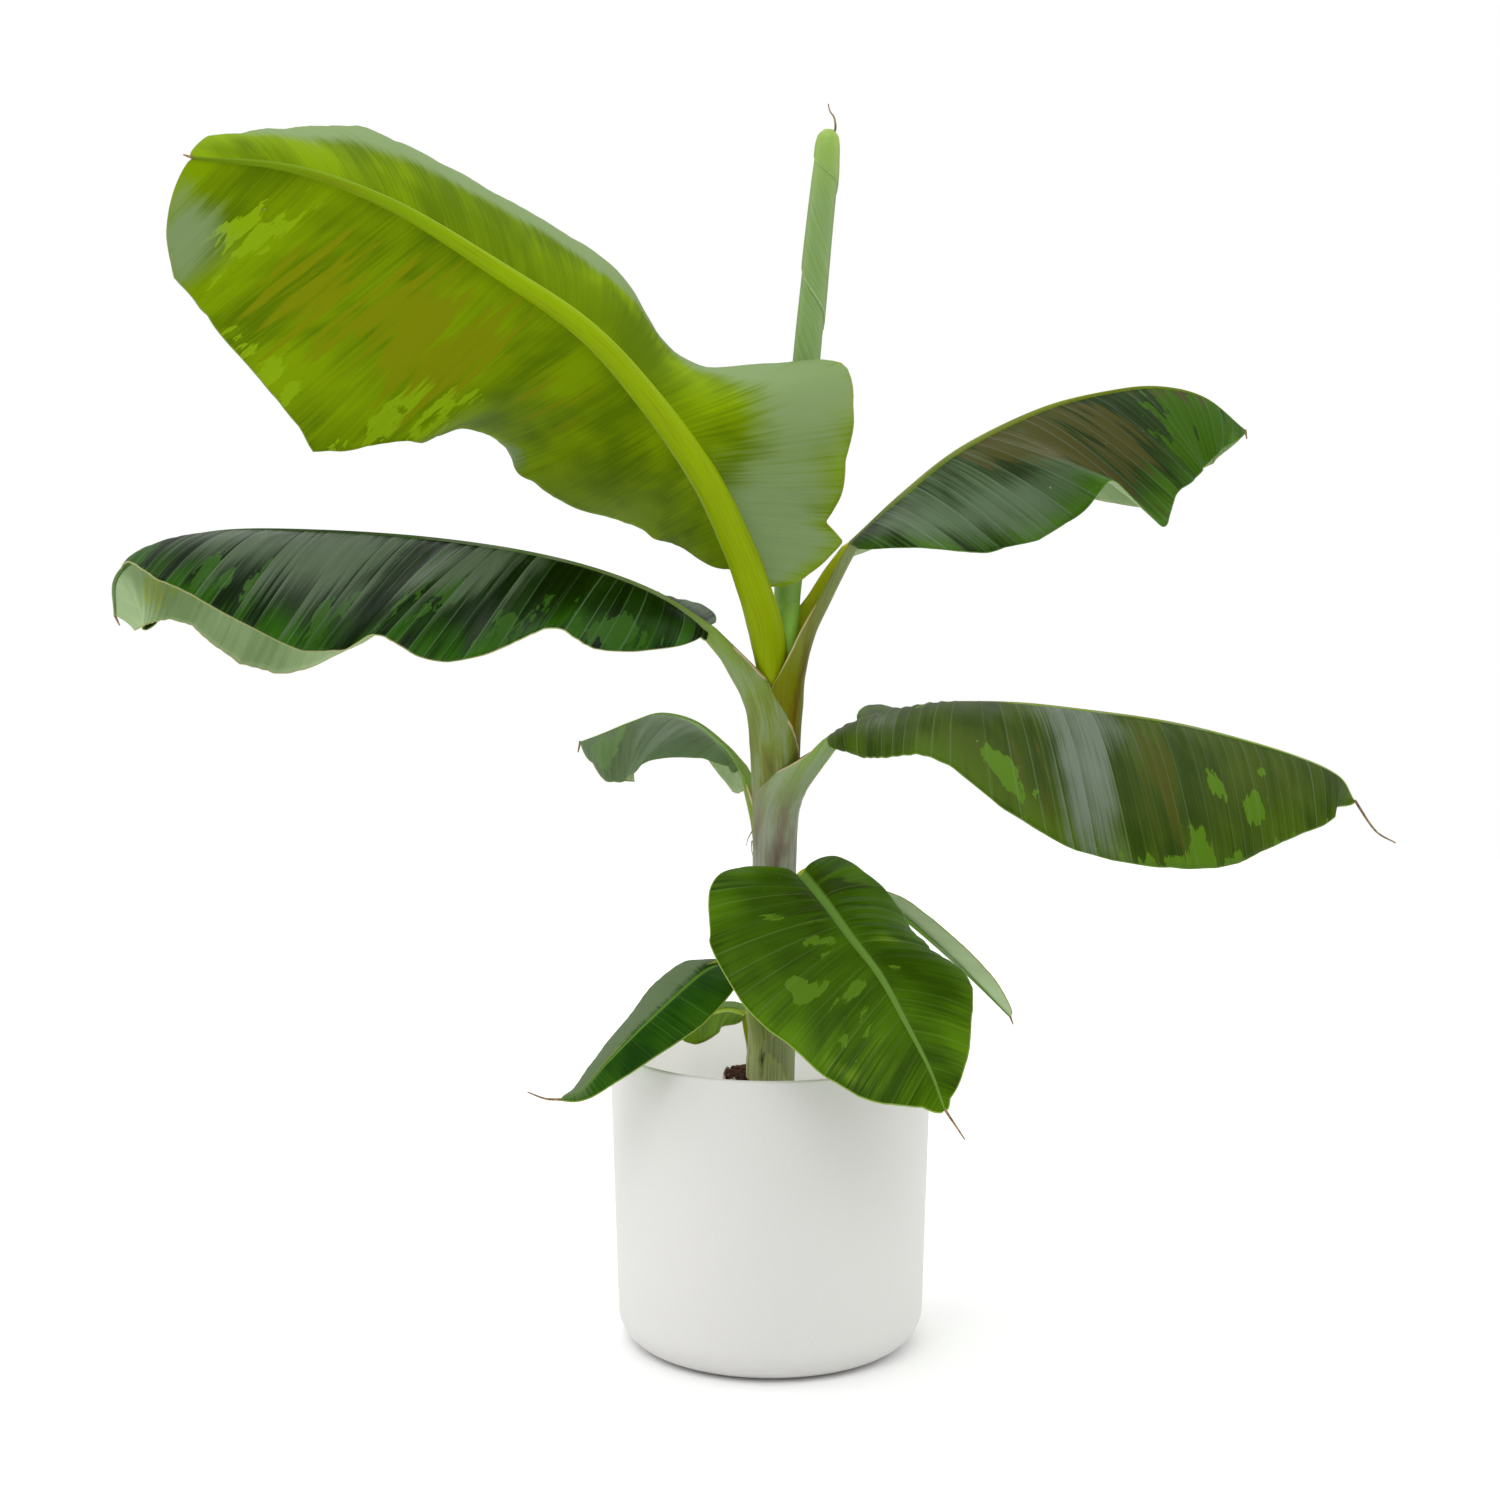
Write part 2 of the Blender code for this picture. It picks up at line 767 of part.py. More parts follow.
def cylinder(name, centre, radius, low, high, collection):
    """An upright cylinder between two heights."""
    shell = bmesh.new()
    bmesh.ops.create_cone(
        shell, cap_ends=True, segments=CYLINDER_SIDES, radius1=radius, radius2=radius, depth=high - low
    )
    bmesh.ops.translate(shell, verts=shell.verts, vec=(*centre, (low + high) / 2))
    mesh = bpy.data.meshes.new(name)
    shell.to_mesh(mesh)
    shell.free()
    return object_from(mesh, name, collection)


def make_stem(collection, cutters, material):
    """The stem, cut flat just above the soil."""
    stem = stem_tube("stem", collection)
    low = SOIL_TOP - GROUND_CUTTER_DEPTH
    ground = cylinder("ground_cutter", (0, 0), GROUND_CUTTER_RADIUS, low, GROUND, cutters)
    return painted(applied(stem, "DIFFERENCE", [ground]), material)


def make_clump(collection, cutters, material):
    """The young plant's root clump: a short upright cylinder that the stem passes through."""
    clump = cylinder("root_clump", CLUMP_CENTRE, CLUMP_RADIUS, GROUND, CLUMP_TOP, collection)
    return painted(applied(clump, "DIFFERENCE", [stem_tube("stem_cutter", cutters, GAP)]), material)


def stalk_tube(leaf, name, collection, grow=0.0):
    count = STALK_ROWS * (len(leaf.stalk) - 1) + 1
    line, radii = tapered_line(leaf.stalk, leaf.stalk_radii, count)
    return tube(name, line, radii, STALK_SIDES, collection, grow)


def roll_tube(name, collection, grow=0.0):
    line, radii = tapered_line(ROLL_AXIS[:ROLL_STRAIGHT], ROLL_RADII[:ROLL_STRAIGHT], ROLL_ROWS)
    line = np.vstack([line, ROLL_AXIS[ROLL_STRAIGHT:]])
    return tube(name, line, list(radii) + list(ROLL_RADII[ROLL_STRAIGHT:]), ROLL_SIDES, collection, grow)


def make_roll(collection, cutters, material):
    """The rolled leaf with the thread at its tip fused on, cut clear of the stem that it comes out of."""
    roll = roll_tube("rolled_leaf", collection)
    line = smooth_line(ROLL_THREAD, ROLL_THREAD_ROWS)
    radii = np.linspace(*ROLL_THREAD_RADII, ROLL_THREAD_ROWS)
    applied(roll, "UNION", [tube("roll_thread", line, radii, RIB_SIDES, collection)])
    return painted(applied(roll, "DIFFERENCE", [stem_tube("stem_cutter", cutters, GAP)]), material)


def make_rib(blade, collection):
    """The midrib under the blade, from the end of the stalk to the thread at the tip."""
    leaf = blade.leaf
    radii = []
    line = []
    for u in np.linspace(0, 1, leaf.rows):
        point, forward, _, up = blade.frame(u)
        radius = RIB_TIP_RADIUS + (leaf.stalk_radii[-1] - RIB_TIP_RADIUS) * (1 - u) ** RIB_TAPER
        overlap = forward * RIB_OVERLAP if u == 0 else 0
        line.append(point - overlap - up * radius * RIB_DROP * (1 - (1 - u) ** RIB_DROP_START))
        radii.append(radius)
    tip = smooth_line((line[-1], *leaf.thread), 2 + 2 * len(leaf.thread))[1:]
    radii += list(np.linspace(RIB_TIP_RADIUS, RIB_TIP_RADIUS * THREAD_TAPER, len(tip)))
    return tube("rib", line + list(tip), radii, RIB_SIDES, collection)


def make_leaf(leaf, collection, cutters, material):
    """The blade from a grid bent to the leaf's surface and given its thickness, with its rib fused in.

    It is cut clear of its stalk, so that it starts a small gap from the stalk's end.
    """
    blade = Blade(leaf)
    name = "leaf_" + leaf.name
    grid = bmesh.new()
    bmesh.ops.create_grid(grid, x_segments=leaf.rows, y_segments=2 * leaf.columns, size=1)
    shares = {}
    for vert in grid.verts:
        share = (vert.co.x + 1) / 2
        share -= ROW_CROWDING * math.sin(2 * math.pi * share)
        u = Blade.START + (1 - Blade.START) * share
        shares[vert.index] = u
        vert.co = Vector(blade.place(u, vert.co.y))
    mesh = bpy.data.meshes.new(name)
    grid.to_mesh(mesh)
    grid.free()
    made = object_from(mesh, name, collection, material)
    thickness = made.vertex_groups.new(name="thickness")
    for index, u in shares.items():
        share = min(1.0, 2 * blade.outline(leaf.left, u))
        thickness.add([index], max(BLADE_THINNEST, share), "REPLACE")
    solidify = made.modifiers.new("thickness", "SOLIDIFY")
    solidify.thickness = BLADE_THICKNESS * blade.length
    solidify.offset = 0
    solidify.vertex_group = "thickness"
    solidify.thickness_vertex_group = 0.0
    applied(made, "UNION", [make_rib(blade, collection)])
    applied(made, "DIFFERENCE", [stalk_tube(leaf, "stalk_cutter", cutters, GAP)])
    return painted(crumbs_dropped(made), material)


def make_stalk(leaf, neighbours, collection, cutters, material):
    """A leaf stalk, cut clear of the stem and of the older pieces that it wraps."""
    name = "stalk_" + leaf.name
    stalk = stalk_tube(leaf, name, collection)
    knives = [cutter("knife_" + name, cutters, GAP) for cutter in neighbours]
    applied(stalk, "DIFFERENCE", knives)
    return painted(stalk, material)


def main():
    scene_cleared()
    plant = collection_named("potted_banana_plant")
    cutters = collection_named("cutters")
    white = finish("pot_white", (0.80, 0.79, 0.76), 0.45)
    soil = finish("potting_soil", (0.055, 0.030, 0.018), 0.95)
    bark = finish("stem_green", (0.36, 0.40, 0.20), 0.5)
    stalk_green = finish("stalk_green", (0.38, 0.46, 0.10), 0.45)
    leaf_green = finish("leaf_green", (0.07, 0.17, 0.03), 0.4)
    young_green = finish("young_leaf_green", (0.22, 0.42, 0.05), 0.45)

    make_pot(plant, white)
    make_soil(plant, soil)
    make_stem(plant, cutters, bark)
    make_clump(plant, cutters, soil)
    make_roll(plant, cutters, young_green)

    stalks = {leaf.name: partial(stalk_tube, leaf) for leaf in LEAVES}
    for leaf in LEAVES:
        around = [stem_tube]
        if leaf.name in ("upper_left", "upper_right"):
            around.append(roll_tube)
        if leaf.name in ("left", "upper_right"):
            around.append(stalks["upper_left"])
        make_stalk(leaf, around, plant, cutters, stalk_green)
        make_leaf(leaf, plant, cutters, young_green if leaf.name == "upper_left" else leaf_green)


main()
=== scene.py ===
"""Potted banana plant, dressed: leaves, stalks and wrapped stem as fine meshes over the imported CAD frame.

Metres, +Z up, origin at the middle of the pot's flat underside. The plant's front faces -Y.
"""

import logging
import math
from collections.abc import Callable
from dataclasses import dataclass, field
from enum import Enum

import bmesh
import bpy
import numpy as np
from mathutils import Matrix, Vector, noise

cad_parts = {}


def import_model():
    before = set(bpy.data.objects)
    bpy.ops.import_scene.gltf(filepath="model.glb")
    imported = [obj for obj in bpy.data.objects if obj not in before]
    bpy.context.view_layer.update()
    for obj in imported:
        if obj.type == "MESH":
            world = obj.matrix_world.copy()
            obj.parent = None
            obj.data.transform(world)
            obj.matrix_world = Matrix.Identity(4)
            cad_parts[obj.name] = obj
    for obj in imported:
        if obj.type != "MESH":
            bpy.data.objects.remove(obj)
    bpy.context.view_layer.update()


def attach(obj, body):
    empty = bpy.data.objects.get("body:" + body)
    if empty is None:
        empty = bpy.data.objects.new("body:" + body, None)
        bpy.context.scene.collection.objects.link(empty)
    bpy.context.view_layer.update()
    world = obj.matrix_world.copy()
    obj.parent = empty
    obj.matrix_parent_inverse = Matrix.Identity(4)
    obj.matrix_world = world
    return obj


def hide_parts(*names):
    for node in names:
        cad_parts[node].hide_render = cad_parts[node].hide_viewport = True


log = logging.getLogger("potted_banana_plant")

MM = 0.001
MERGE = 0.02 * MM
TURN = 2 * math.pi
FRONT = np.array([0.0, -1.0, 0.0])
# Samples of a smooth curve for each stretch between two of its points
CURVE_STEPS = 24
# Turning points of a seeded wander, before it runs out
WANDER_TURNS = 512

Array = np.ndarray
Points = tuple[Array, dict[str, Array]]
Surface = Callable[[Array, Array], Points]
Relief = Callable[[Array, Array], Array]
Colour = tuple[float, float, float, float]
Socket = bpy.types.NodeSocket
Mesh = bpy.types.Mesh


class LeafSide(Enum):
    """The two faces of a blade, by the name of the mark that holds each one's patches."""

    UPPER = "leaf_tint"
    UNDER = "leaf_under_tint"


class Tint(Enum):
    """The three kinds of patch that a blade's face carries, by their place in its mark: pale, brown, and grey
    wax with painted sheen, whose negative weight paints shade.
    """

    PALE = 0
    BROWN = 1
    # Grey waxy film and painted sheen; a negative weight paints shade
    BLOOM = 2


# Small tools


def linear(code: str) -> Colour:
    """Turn an sRGB hex colour to the linear values that a shader takes.

    Args:
        code: The colour as six hex digits with a leading #.

    Returns:
        Red, green, blue and an alpha of 1.
    """
    parts = [int(code[i : i + 2], 16) / 255 for i in (1, 3, 5)]
    return (*(c / 12.92 if c <= 0.04045 else ((c + 0.055) / 1.055) ** 2.4 for c in parts), 1.0)


def plug(node: bpy.types.Node, inputs: dict) -> None:
    """Link sockets, or set plain values, on a node.

    Args:
        node: The node that takes them.
        inputs: Sockets or plain values by the input's name or number.
    """
    for key, value in inputs.items():
        if isinstance(value, Socket):
            node.id_data.links.new(value, node.inputs[key])
        else:
            node.inputs[key].default_value = value


def add(
    tree: bpy.types.NodeTree, kind: str, inputs: dict | None = None, out: int | str = 0, **settings
) -> Socket:
    """Add one node with its settings, and link or set its inputs.

    Args:
        tree: The node tree that takes the node.
        kind: The node's type, without the ShaderNode before it.
        inputs: Sockets or plain values by the input's name or number.
        out: The name or number of the output that is wanted.
        **settings: The node's own settings.

    Returns:
        The wanted output.
    """
    node = tree.nodes.new("ShaderNode" + kind)
    for key, value in settings.items():
        setattr(node, key, value)
    plug(node, inputs or {})
    return node.outputs[out]


def unit(vectors: Array) -> Array:
    """Scale vectors to length 1."""
    return vectors / np.linalg.norm(vectors, axis=-1, keepdims=True)


def square(vectors: Array, ahead: Array) -> Array:
    """Turn vectors square to the directions ahead, at length 1."""
    return unit(vectors - ahead * np.sum(vectors * ahead, axis=-1, keepdims=True))


def filled(rows: tuple, scales: tuple) -> Array:
    """Fill short rows up with noughts and scale each column.

    Args:
        rows: Rows of numbers, where some leave out their last ones.
        scales: What each column is multiplied by.

    Returns:
        The whole table.
    """
    return np.array([(*row, *[0] * (len(scales) - len(row))) for row in rows]) * scales


def read(table: Array, at: Array, wanted: Array) -> Array:
    """Read all columns of a table, on straight lines between its rows.

    Args:
        table: The rows.
        at: The place of each row.
        wanted: The places to read.

    Returns:
        One row for each place wanted.
    """
    return np.stack([np.interp(wanted, at, column) for column in table.T], axis=1)


def run_of(line: Array) -> Array:
    """Measure the distance along a line to each of its points."""
    return np.concatenate([[0], np.cumsum(np.linalg.norm(np.diff(line[:, :3], axis=0), axis=1))])


def smooth_line(points: tuple | Array, count: int) -> Array:
    """Spread points evenly on a smooth curve through the points given.

    Args:
        points: The curve's own points.
        count: How many points to return.

    Returns:
        An array of count points.
    """
    knots = np.array(points, float)
    padded = np.vstack([2 * knots[0] - knots[1], knots, 2 * knots[-1] - knots[-2]])
    dense = []
    for a, b, c, d in zip(padded, padded[1:], padded[2:], padded[3:]):
        for t in np.linspace(0, 1, CURVE_STEPS, endpoint=False):
            bend = (2 * a - 5 * b + 4 * c - d) * t**2 + (3 * b - a - 3 * c + d) * t**3
            dense.append(0.5 * (2 * b + (c - a) * t + bend))
    dense = np.array([*dense, knots[-1]])
    run = run_of(dense)
    return read(dense, run, np.linspace(0, run[-1], count))


def ease(share: Array) -> Array:
    """Smooth a share that runs from 0 to 1, with anything past them cut off."""
    share = np.clip(share, 0, 1)
    return share * share * (3 - 2 * share)


def along(values: tuple | Array, u: Array) -> Array:
    """Read stations that are evenly spaced along a leaf, smoothed between them.

    Args:
        values: One number or vector for each station.
        u: Shares from 0 at the first station to 1 at the last.

    Returns:
        The value at each share.
    """
    table = np.array(values, float)
    place = u * (len(table) - 1)
    low = np.minimum(place.astype(int), len(table) - 2)
    share = ease(place - low).reshape(-1, *[1] * (table.ndim - 1))
    return table[low] + (table[low + 1] - table[low]) * share


def wobble(run: Array, spacing: float, seed: int) -> Array:
    """Give a smooth seeded wander between -1 and 1.

    Args:
        run: Where it is read, in metres.
        spacing: The distance between its turning points, in metres.
        seed: The seed of its turning points.

    Returns:
        The wander at each place.
    """
    turns = np.random.default_rng(seed).uniform(-1, 1, WANDER_TURNS)
    place = np.abs(run) / spacing
    low = np.minimum(place.astype(int), WANDER_TURNS - 2)
    return turns[low] + (turns[low + 1] - turns[low]) * ease(place - low)


def ring(radius: Array, angle: Array, height: Array, centre: tuple = (0.0, 0.0)) -> Array:
    """Place points round an upright axis.

    Args:
        radius: Each point's distance from the axis.
        angle: Its angle, from the right towards the back.
        height: Its height.
        centre: Where the axis stands.

    Returns:
        The places.
    """
    return np.stack([centre[0] + radius * np.cos(angle), centre[1] + radius * np.sin(angle), height], axis=-1)


def mesh_of(name: str, shell: bmesh.types.BMesh, smooth: bool = False) -> Mesh:
    """Turn a working mesh to a finished one, and free it.

    Args:
        name: The mesh's name.
        shell: The working mesh.
        smooth: Whether all its faces are shaded smooth.

    Returns:
        The finished mesh.
    """
    for face in shell.faces if smooth else ():
        face.smooth = True
    mesh = bpy.data.meshes.new(name)
    shell.to_mesh(mesh)
    shell.free()
    return mesh


def sealed(shell: bmesh.types.BMesh, fill: bool = True) -> None:
    """Merge a working mesh's doubled points and turn its faces outward.

    Args:
        shell: The working mesh.
        fill: Whether its open ends are filled.
    """
    bmesh.ops.remove_doubles(shell, verts=shell.verts, dist=MERGE)
    if fill:
        bmesh.ops.holes_fill(shell, edges=shell.edges, sides=0)
    bmesh.ops.recalc_face_normals(shell, faces=shell.faces)


def skin(name: str, rows: int, columns: int, surface: Surface, closed: bool = False) -> Mesh:
    """Bend a grid to a surface, and keep what the surface says of each point as attributes.

    Args:
        name: The mesh's name.
        rows: Faces along the surface's first direction.
        columns: Faces along its second.
        surface: Gives places and marks for shares of the two directions.
        closed: Whether the second direction comes round to its start, and the ends are filled.

    Returns:
        The mesh, shaded smooth.
    """
    shell = bmesh.new()
    bmesh.ops.create_grid(shell, x_segments=rows, y_segments=columns, size=1)
    flat = np.array([vert.co for vert in shell.verts])
    places, marks = surface((flat[:, 0] + 1) / 2, (flat[:, 1] + 1) / 2)
    for mark in marks:
        shell.verts.layers.float_vector.new(mark)
    layers = [(shell.verts.layers.float_vector[mark], values) for mark, values in marks.items()]
    for index, vert in enumerate(shell.verts):
        vert.co = places[index]
        for layer, values in layers:
            vert[layer] = values[index]
    if closed:
        sealed(shell)
    return mesh_of(name, shell, smooth=True)


def joined(name: str, meshes: list[Mesh]) -> Mesh:
    """Join meshes that carry the same marks.

    Args:
        name: The joined mesh's name.
        meshes: The meshes, which are removed.

    Returns:
        One mesh.
    """
    shell = bmesh.new()
    for mesh in meshes:
        shell.from_mesh(mesh)
        bpy.data.meshes.remove(mesh)
    return mesh_of(name, shell)


def placed(name: str, data: bpy.types.ID) -> bpy.types.Object:
    """Put a mesh, a light or a camera in the scene.

    Args:
        name: The object's name.
        data: What it shows.

    Returns:
        The object.
    """
    made = bpy.data.objects.new(name, data)
    bpy.context.scene.collection.objects.link(made)
    return made


def piece(mesh: Mesh, slot: str, *finishes: bpy.types.Material, nodes: tuple[str, ...] = ()) -> None:
    """Put a finished mesh in the scene under its own name, riding on the plant.

    Args:
        mesh: The mesh.
        slot: Not used.
        *finishes: The materials that it hasn't yet.
        nodes: The CAD nodes that it stands for.
    """
    for finish in finishes:
        mesh.materials.append(finish)
    made = placed(mesh.name, mesh)
    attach(made, "root")
    if nodes:
        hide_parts(*nodes)
    log.info("%s: %d faces", mesh.name, len(mesh.polygons))


# The shape of stalks, stem and roll


@dataclass
class Tube:
    """A round tube along a line, whose angles are counted from the plant's front towards its right.

    Attributes:
        line: Points along its middle.
        radii: Its radius at each point.
        relief: The share of the radius to add at a share of the length and an angle.
    """

    line: Array
    radii: Array
    relief: Relief | None = None

    @classmethod
    def through(cls, points: tuple, radii: tuple, count: int, relief: Relief) -> "Tube":
        """Lay a tube through points, with a radius for each.

        Args:
            points: The points along its middle.
            radii: Its radius at each.
            count: How many points its line gets.
            relief: The relief on it.

        Returns:
            The tube.
        """
        knots = run_of(np.array(points))
        run = np.linspace(0, knots[-1], count)
        return cls(smooth_line(points, count), np.interp(run, knots, radii), relief)

    @classmethod
    def strand(cls, name: str, points: tuple, radii: tuple, faces: tuple, count: int) -> Mesh:
        """Build a thin strand that tapers evenly.

        Args:
            name: The mesh's name.
            points: The points that it runs through.
            radii: Its first and last radius.
            faces: Faces along it and round it.
            count: How many points its line gets.

        Returns:
            The mesh.
        """
        return cls(smooth_line(points, count), np.linspace(*radii, count)).mesh(name, *faces)

    def surface(self, s: Array, t: Array) -> Points:
        """Place points on the tube.

        Args:
            s: Shares of the length.
            t: Shares of the way round, from the front.

        Returns:
            The places, and the length, the angle's share and the height of each.
        """
        share = np.linspace(0, 1, len(self.line))
        ahead = unit(read(unit(np.gradient(self.line, axis=0)), share, s))
        radius = np.interp(s, share, self.radii)
        angle = t * TURN
        if self.relief:
            radius = radius * (1 + self.relief(s, angle))
        front = square(FRONT, ahead)
        out = front * np.cos(angle)[:, None] + np.cross(ahead, front) * np.sin(angle)[:, None]
        places = read(self.line, share, s) + radius[:, None] * out
        return places, {"tube_place": np.stack([s * run_of(self.line)[-1], t, places[:, 2]], axis=1)}

    def mesh(self, name: str, rows: int, columns: int) -> Mesh:
        """Build the closed tube, with rows of faces along it and columns round it."""
        return skin(name, rows, columns, self.surface, closed=True)


@dataclass(frozen=True)
class Fold:
    """A place where a half's margin is bent.

    Attributes:
        at: Its middle, as a share of the rib's length.
        reach: How far it fades each way, as such a share.
        hinge: Degrees more that the half droops at the rib.
        droop: The same at its margin.
        wider: The share that its width gains.
        forward: How much further its veins reach ahead.
    """

    at: float
    reach: float
    hinge: float = 0.0
    droop: float = 0.0
    wider: float = 0.0
    forward: float = 0.0


@dataclass(frozen=True)
class Half:
    """One side of a blade, from the rib to its margin.

    Attributes:
        width: The half's greatest width in millimetres, measured across its curve.
        inner: Degrees that it droops below the blade's face at the rib, at even stations.
        outer: The same at its margin.
        lean: How far its veins reach forward at the margin, as a share of its width.
        folds: The places where its margin is bent.
        begin: The share of the rib where it starts.
        widest: The share where it is widest.
        end: The share where it ends.
        base_power: How round its base is.
        tip_power: How blunt its tip is.
        trim: Where its margin leaves that outline: the share of the rib, then millimetres out and ahead.
    """

    width: float
    inner: tuple
    outer: tuple
    lean: tuple = (-0.3, 0.2, 0.3, 0.35, 0.5, 0.8)
    folds: tuple[Fold, ...] = ()
    begin: float = 0.0
    widest: float = 0.45
    end: float = 1.0
    base_power: float = 2.2
    tip_power: float = 2.3
    trim: tuple = ()


@dataclass(frozen=True)
class Leaf:
    """A leaf: its sheath and stalk, its rib and its two halves, in millimetres.

    Attributes:
        name: The leaf's name, as in the CAD nodes.
        upper: The finish of its upper face.
        under: The finish of its underside.
        stalk_finish: The finish of its sheath, stalk and rib.
        sheath: Rows from inside the wrapped stem to the stalk's end: the middle of its curve, the curve's
            radius, the degrees that it wraps each way from its outer side, and those that its opening turns.
        rib: Points from the stalk's end to the blade's tip.
        thread: Points of the dry thread past the tip.
        face: The direction of the blade's upper side at even stations.
        left: The half on the left of the rib, seen from above with the tip ahead.
        right: The other half.
        rows: Faces along the blade.
        columns: Faces across each half.
        seed: The seed of its waves and pleats.
        ripple: How far the margin waves.
        pleat: How deep the blade is pleated along its veins.
        patches: The tinted regions of its upper face, in rows for each tint: the middle as a share of the
            rib's length and a share across from -1 at the left margin to 1 at the right, how far the region
            fades along and across, and how much of it the tint takes.
        under_patches: Those of its underside. On both faces the third tint's patches lay grey wax with
            painted sheen, and those of negative strength paint shade.
    """

    name: str
    upper: "BladeFinish"
    under: "BladeFinish"
    stalk_finish: "StalkFinish"
    sheath: tuple
    rib: tuple
    thread: tuple
    face: tuple
    left: Half
    right: Half
    rows: int = 180
    columns: int = 30
    seed: int = 1
    ripple: float = 1.2
    pleat: float = 0.6
    patches: dict[Tint, tuple] = field(default_factory=dict)
    under_patches: dict[Tint, tuple] = field(default_factory=dict)


@dataclass
class Blade:
    """The surface of one leaf's blade, from its rib to its two margins.

    Attributes:
        leaf: The leaf that it belongs to.
        samples: Points of the rib's line.
        start: The share of the rib where the blade starts.
        base_width: Its width there, as a share of its greatest.
        tip_width: Its width at the tip, as such a share.
        tip_rounding: How fast its outline closes at the tip.
        straight: The least turn of a half across it, in radians.
        rib_tip: The rib's radius at the tip.
        rib_taper: How evenly the rib thins.
        rib_sink: How far below the blade the rib's middle lies, in radii.
        least_width: The least width of a half.
        thickness: The blade's thickness.
        row_crowding: How much closer its rows of faces are at its two ends.
        column_crowding: How much closer its columns of faces are at the rib.
        pleat_spacing: The distance between two pleats.
        pleat_wander: How far they wander, in pleats.
        wander_spacing: The distance between the turning points of that.
        left_pleats: Keeps the left half's pleats apart from the right's in the noise that tells them apart.
        pleat_fade: The share of their depth that pleats lose towards the margin.
        pleat_clear: The distance from the rib at which they have their depth.
        wave_spacing: The distance between the turning points of the margin's waves.
        wave_seed: Keeps the seeds of the waves apart from those of the pleats.
        wave_power: How close to the margin the waves stay.
        full_waves: The width at which a half has its waves and pleats in full.
        least_waves: The share of them that a narrow half keeps.
        groove_depth: The depth of the groove over the rib, in radii.
        groove_reach: How far the groove reaches from the rib's middle, in radii.
        groove_end: The share of the rib over which the groove ends at the tip.
    """

    leaf: Leaf
    samples: int = 240
    start: float = 0.004
    base_width: float = 0.05
    tip_width: float = 0.02
    tip_rounding: float = 0.85
    straight: float = 1e-4
    rib_tip: float = 0.0011
    rib_taper: float = 0.9
    rib_sink: float = 0.35
    least_width: float = 0.0015
    thickness: float = 0.0007
    row_crowding: float = 0.035
    column_crowding: float = 1.5
    pleat_spacing: float = 0.0100
    pleat_wander: float = 0.80
    wander_spacing: float = 0.021
    left_pleats: int = 100
    pleat_fade: float = 0.4
    pleat_clear: float = 0.012
    wave_spacing: float = 0.017
    wave_seed: int = 40
    wave_power: int = 3
    full_waves: float = 0.10
    least_waves: float = 0.15
    groove_depth: float = 0.5
    groove_reach: float = 1.25
    groove_end: float = 0.05

    def __post_init__(self) -> None:
        """Measure the rib."""
        self.line = smooth_line(filled(self.leaf.rib, (MM, MM, MM)), self.samples)
        self.length = float(run_of(self.line)[-1])
        self.tangents = unit(np.gradient(self.line, axis=0))
        self.stalk_radius = self.leaf.sheath[-1][3] * MM

    def frame(self, u: Array) -> tuple[Array, ...]:
        """Find the rib's frame.

        Args:
            u: Shares along the rib.

        Returns:
            The rib's point, its direction, the blade's right-hand side and its upper side.
        """
        found = read(np.hstack([self.line, self.tangents]), np.linspace(0, 1, self.samples), u)
        ahead = unit(found[:, 3:])
        up = square(along(unit(np.array(self.leaf.face, float)), u), ahead)
        return found[:, :3], ahead, np.cross(ahead, up), up

    def rib_radius(self, u: Array) -> Array:
        """Give the rib's radius at shares u."""
        return self.rib_tip + (self.stalk_radius - self.rib_tip) * (1 - u) ** self.rib_taper

    def outline(self, half: Half, u: Array) -> Array:
        """Give a half's smooth outline, before its folds and trim.

        Args:
            half: The half.
            u: Shares along the rib.

        Returns:
            Its width, as a share of its widest.
        """
        rising = np.clip((u - half.begin) / (half.widest - half.begin), 0, 1)
        falling = np.clip((u - half.widest) / (half.end - half.widest), 0, 1)
        low = self.base_width + (1 - self.base_width) * np.sqrt(1 - (1 - rising) ** half.base_power)
        high = self.tip_width + (1 - self.tip_width) * (1 - falling**half.tip_power) ** self.tip_rounding
        return np.where(u < half.widest, low, high)

    def half_surface(self, half: Half, sign: float, u: Array, v: Array) -> tuple[Array, ...]:
        """Place points on one half.

        Args:
            half: The half.
            sign: 1 for the right half and -1 for the left.
            u: Shares along the rib.
            v: Shares across, from 0 at the rib to 1 at the margin.

        Returns:
            The places, the blade's own upward direction there, and the half's width at each.
        """
        point, ahead, side, up = self.frame(u)
        side = side * sign
        width = half.width * MM * self.outline(half, u)
        inner, outer, lean = (along(values, u) for values in (half.inner, half.outer, half.lean))
        for fold in half.folds:
            share = np.exp(-(((u - fold.at) / fold.reach) ** 2))
            inner = inner + fold.hinge * share
            outer = outer + fold.droop * share
            width = width * (1 + fold.wider * share)
            lean = lean + fold.forward * share
        if half.trim:
            at, out, shift = filled(half.trim, (1, MM, MM)).T
            width = np.maximum(width + np.interp(u, at, out), self.least_width)
            lean = lean + np.interp(u, at, shift) / width
        inner, turn = np.radians(inner), np.radians(outer - inner)
        turn = np.where(np.abs(turn) > self.straight, turn, self.straight)
        angle = inner + turn * v
        across = (np.sin(angle) - np.sin(inner)) / turn
        down = (np.cos(inner) - np.cos(angle)) / turn
        curve = side * across[:, None] - up * down[:, None] + ahead * (lean * v)[:, None]
        normal = side * np.sin(angle)[:, None] + up * np.cos(angle)[:, None]
        return point + width[:, None] * curve, normal, width[:, None]

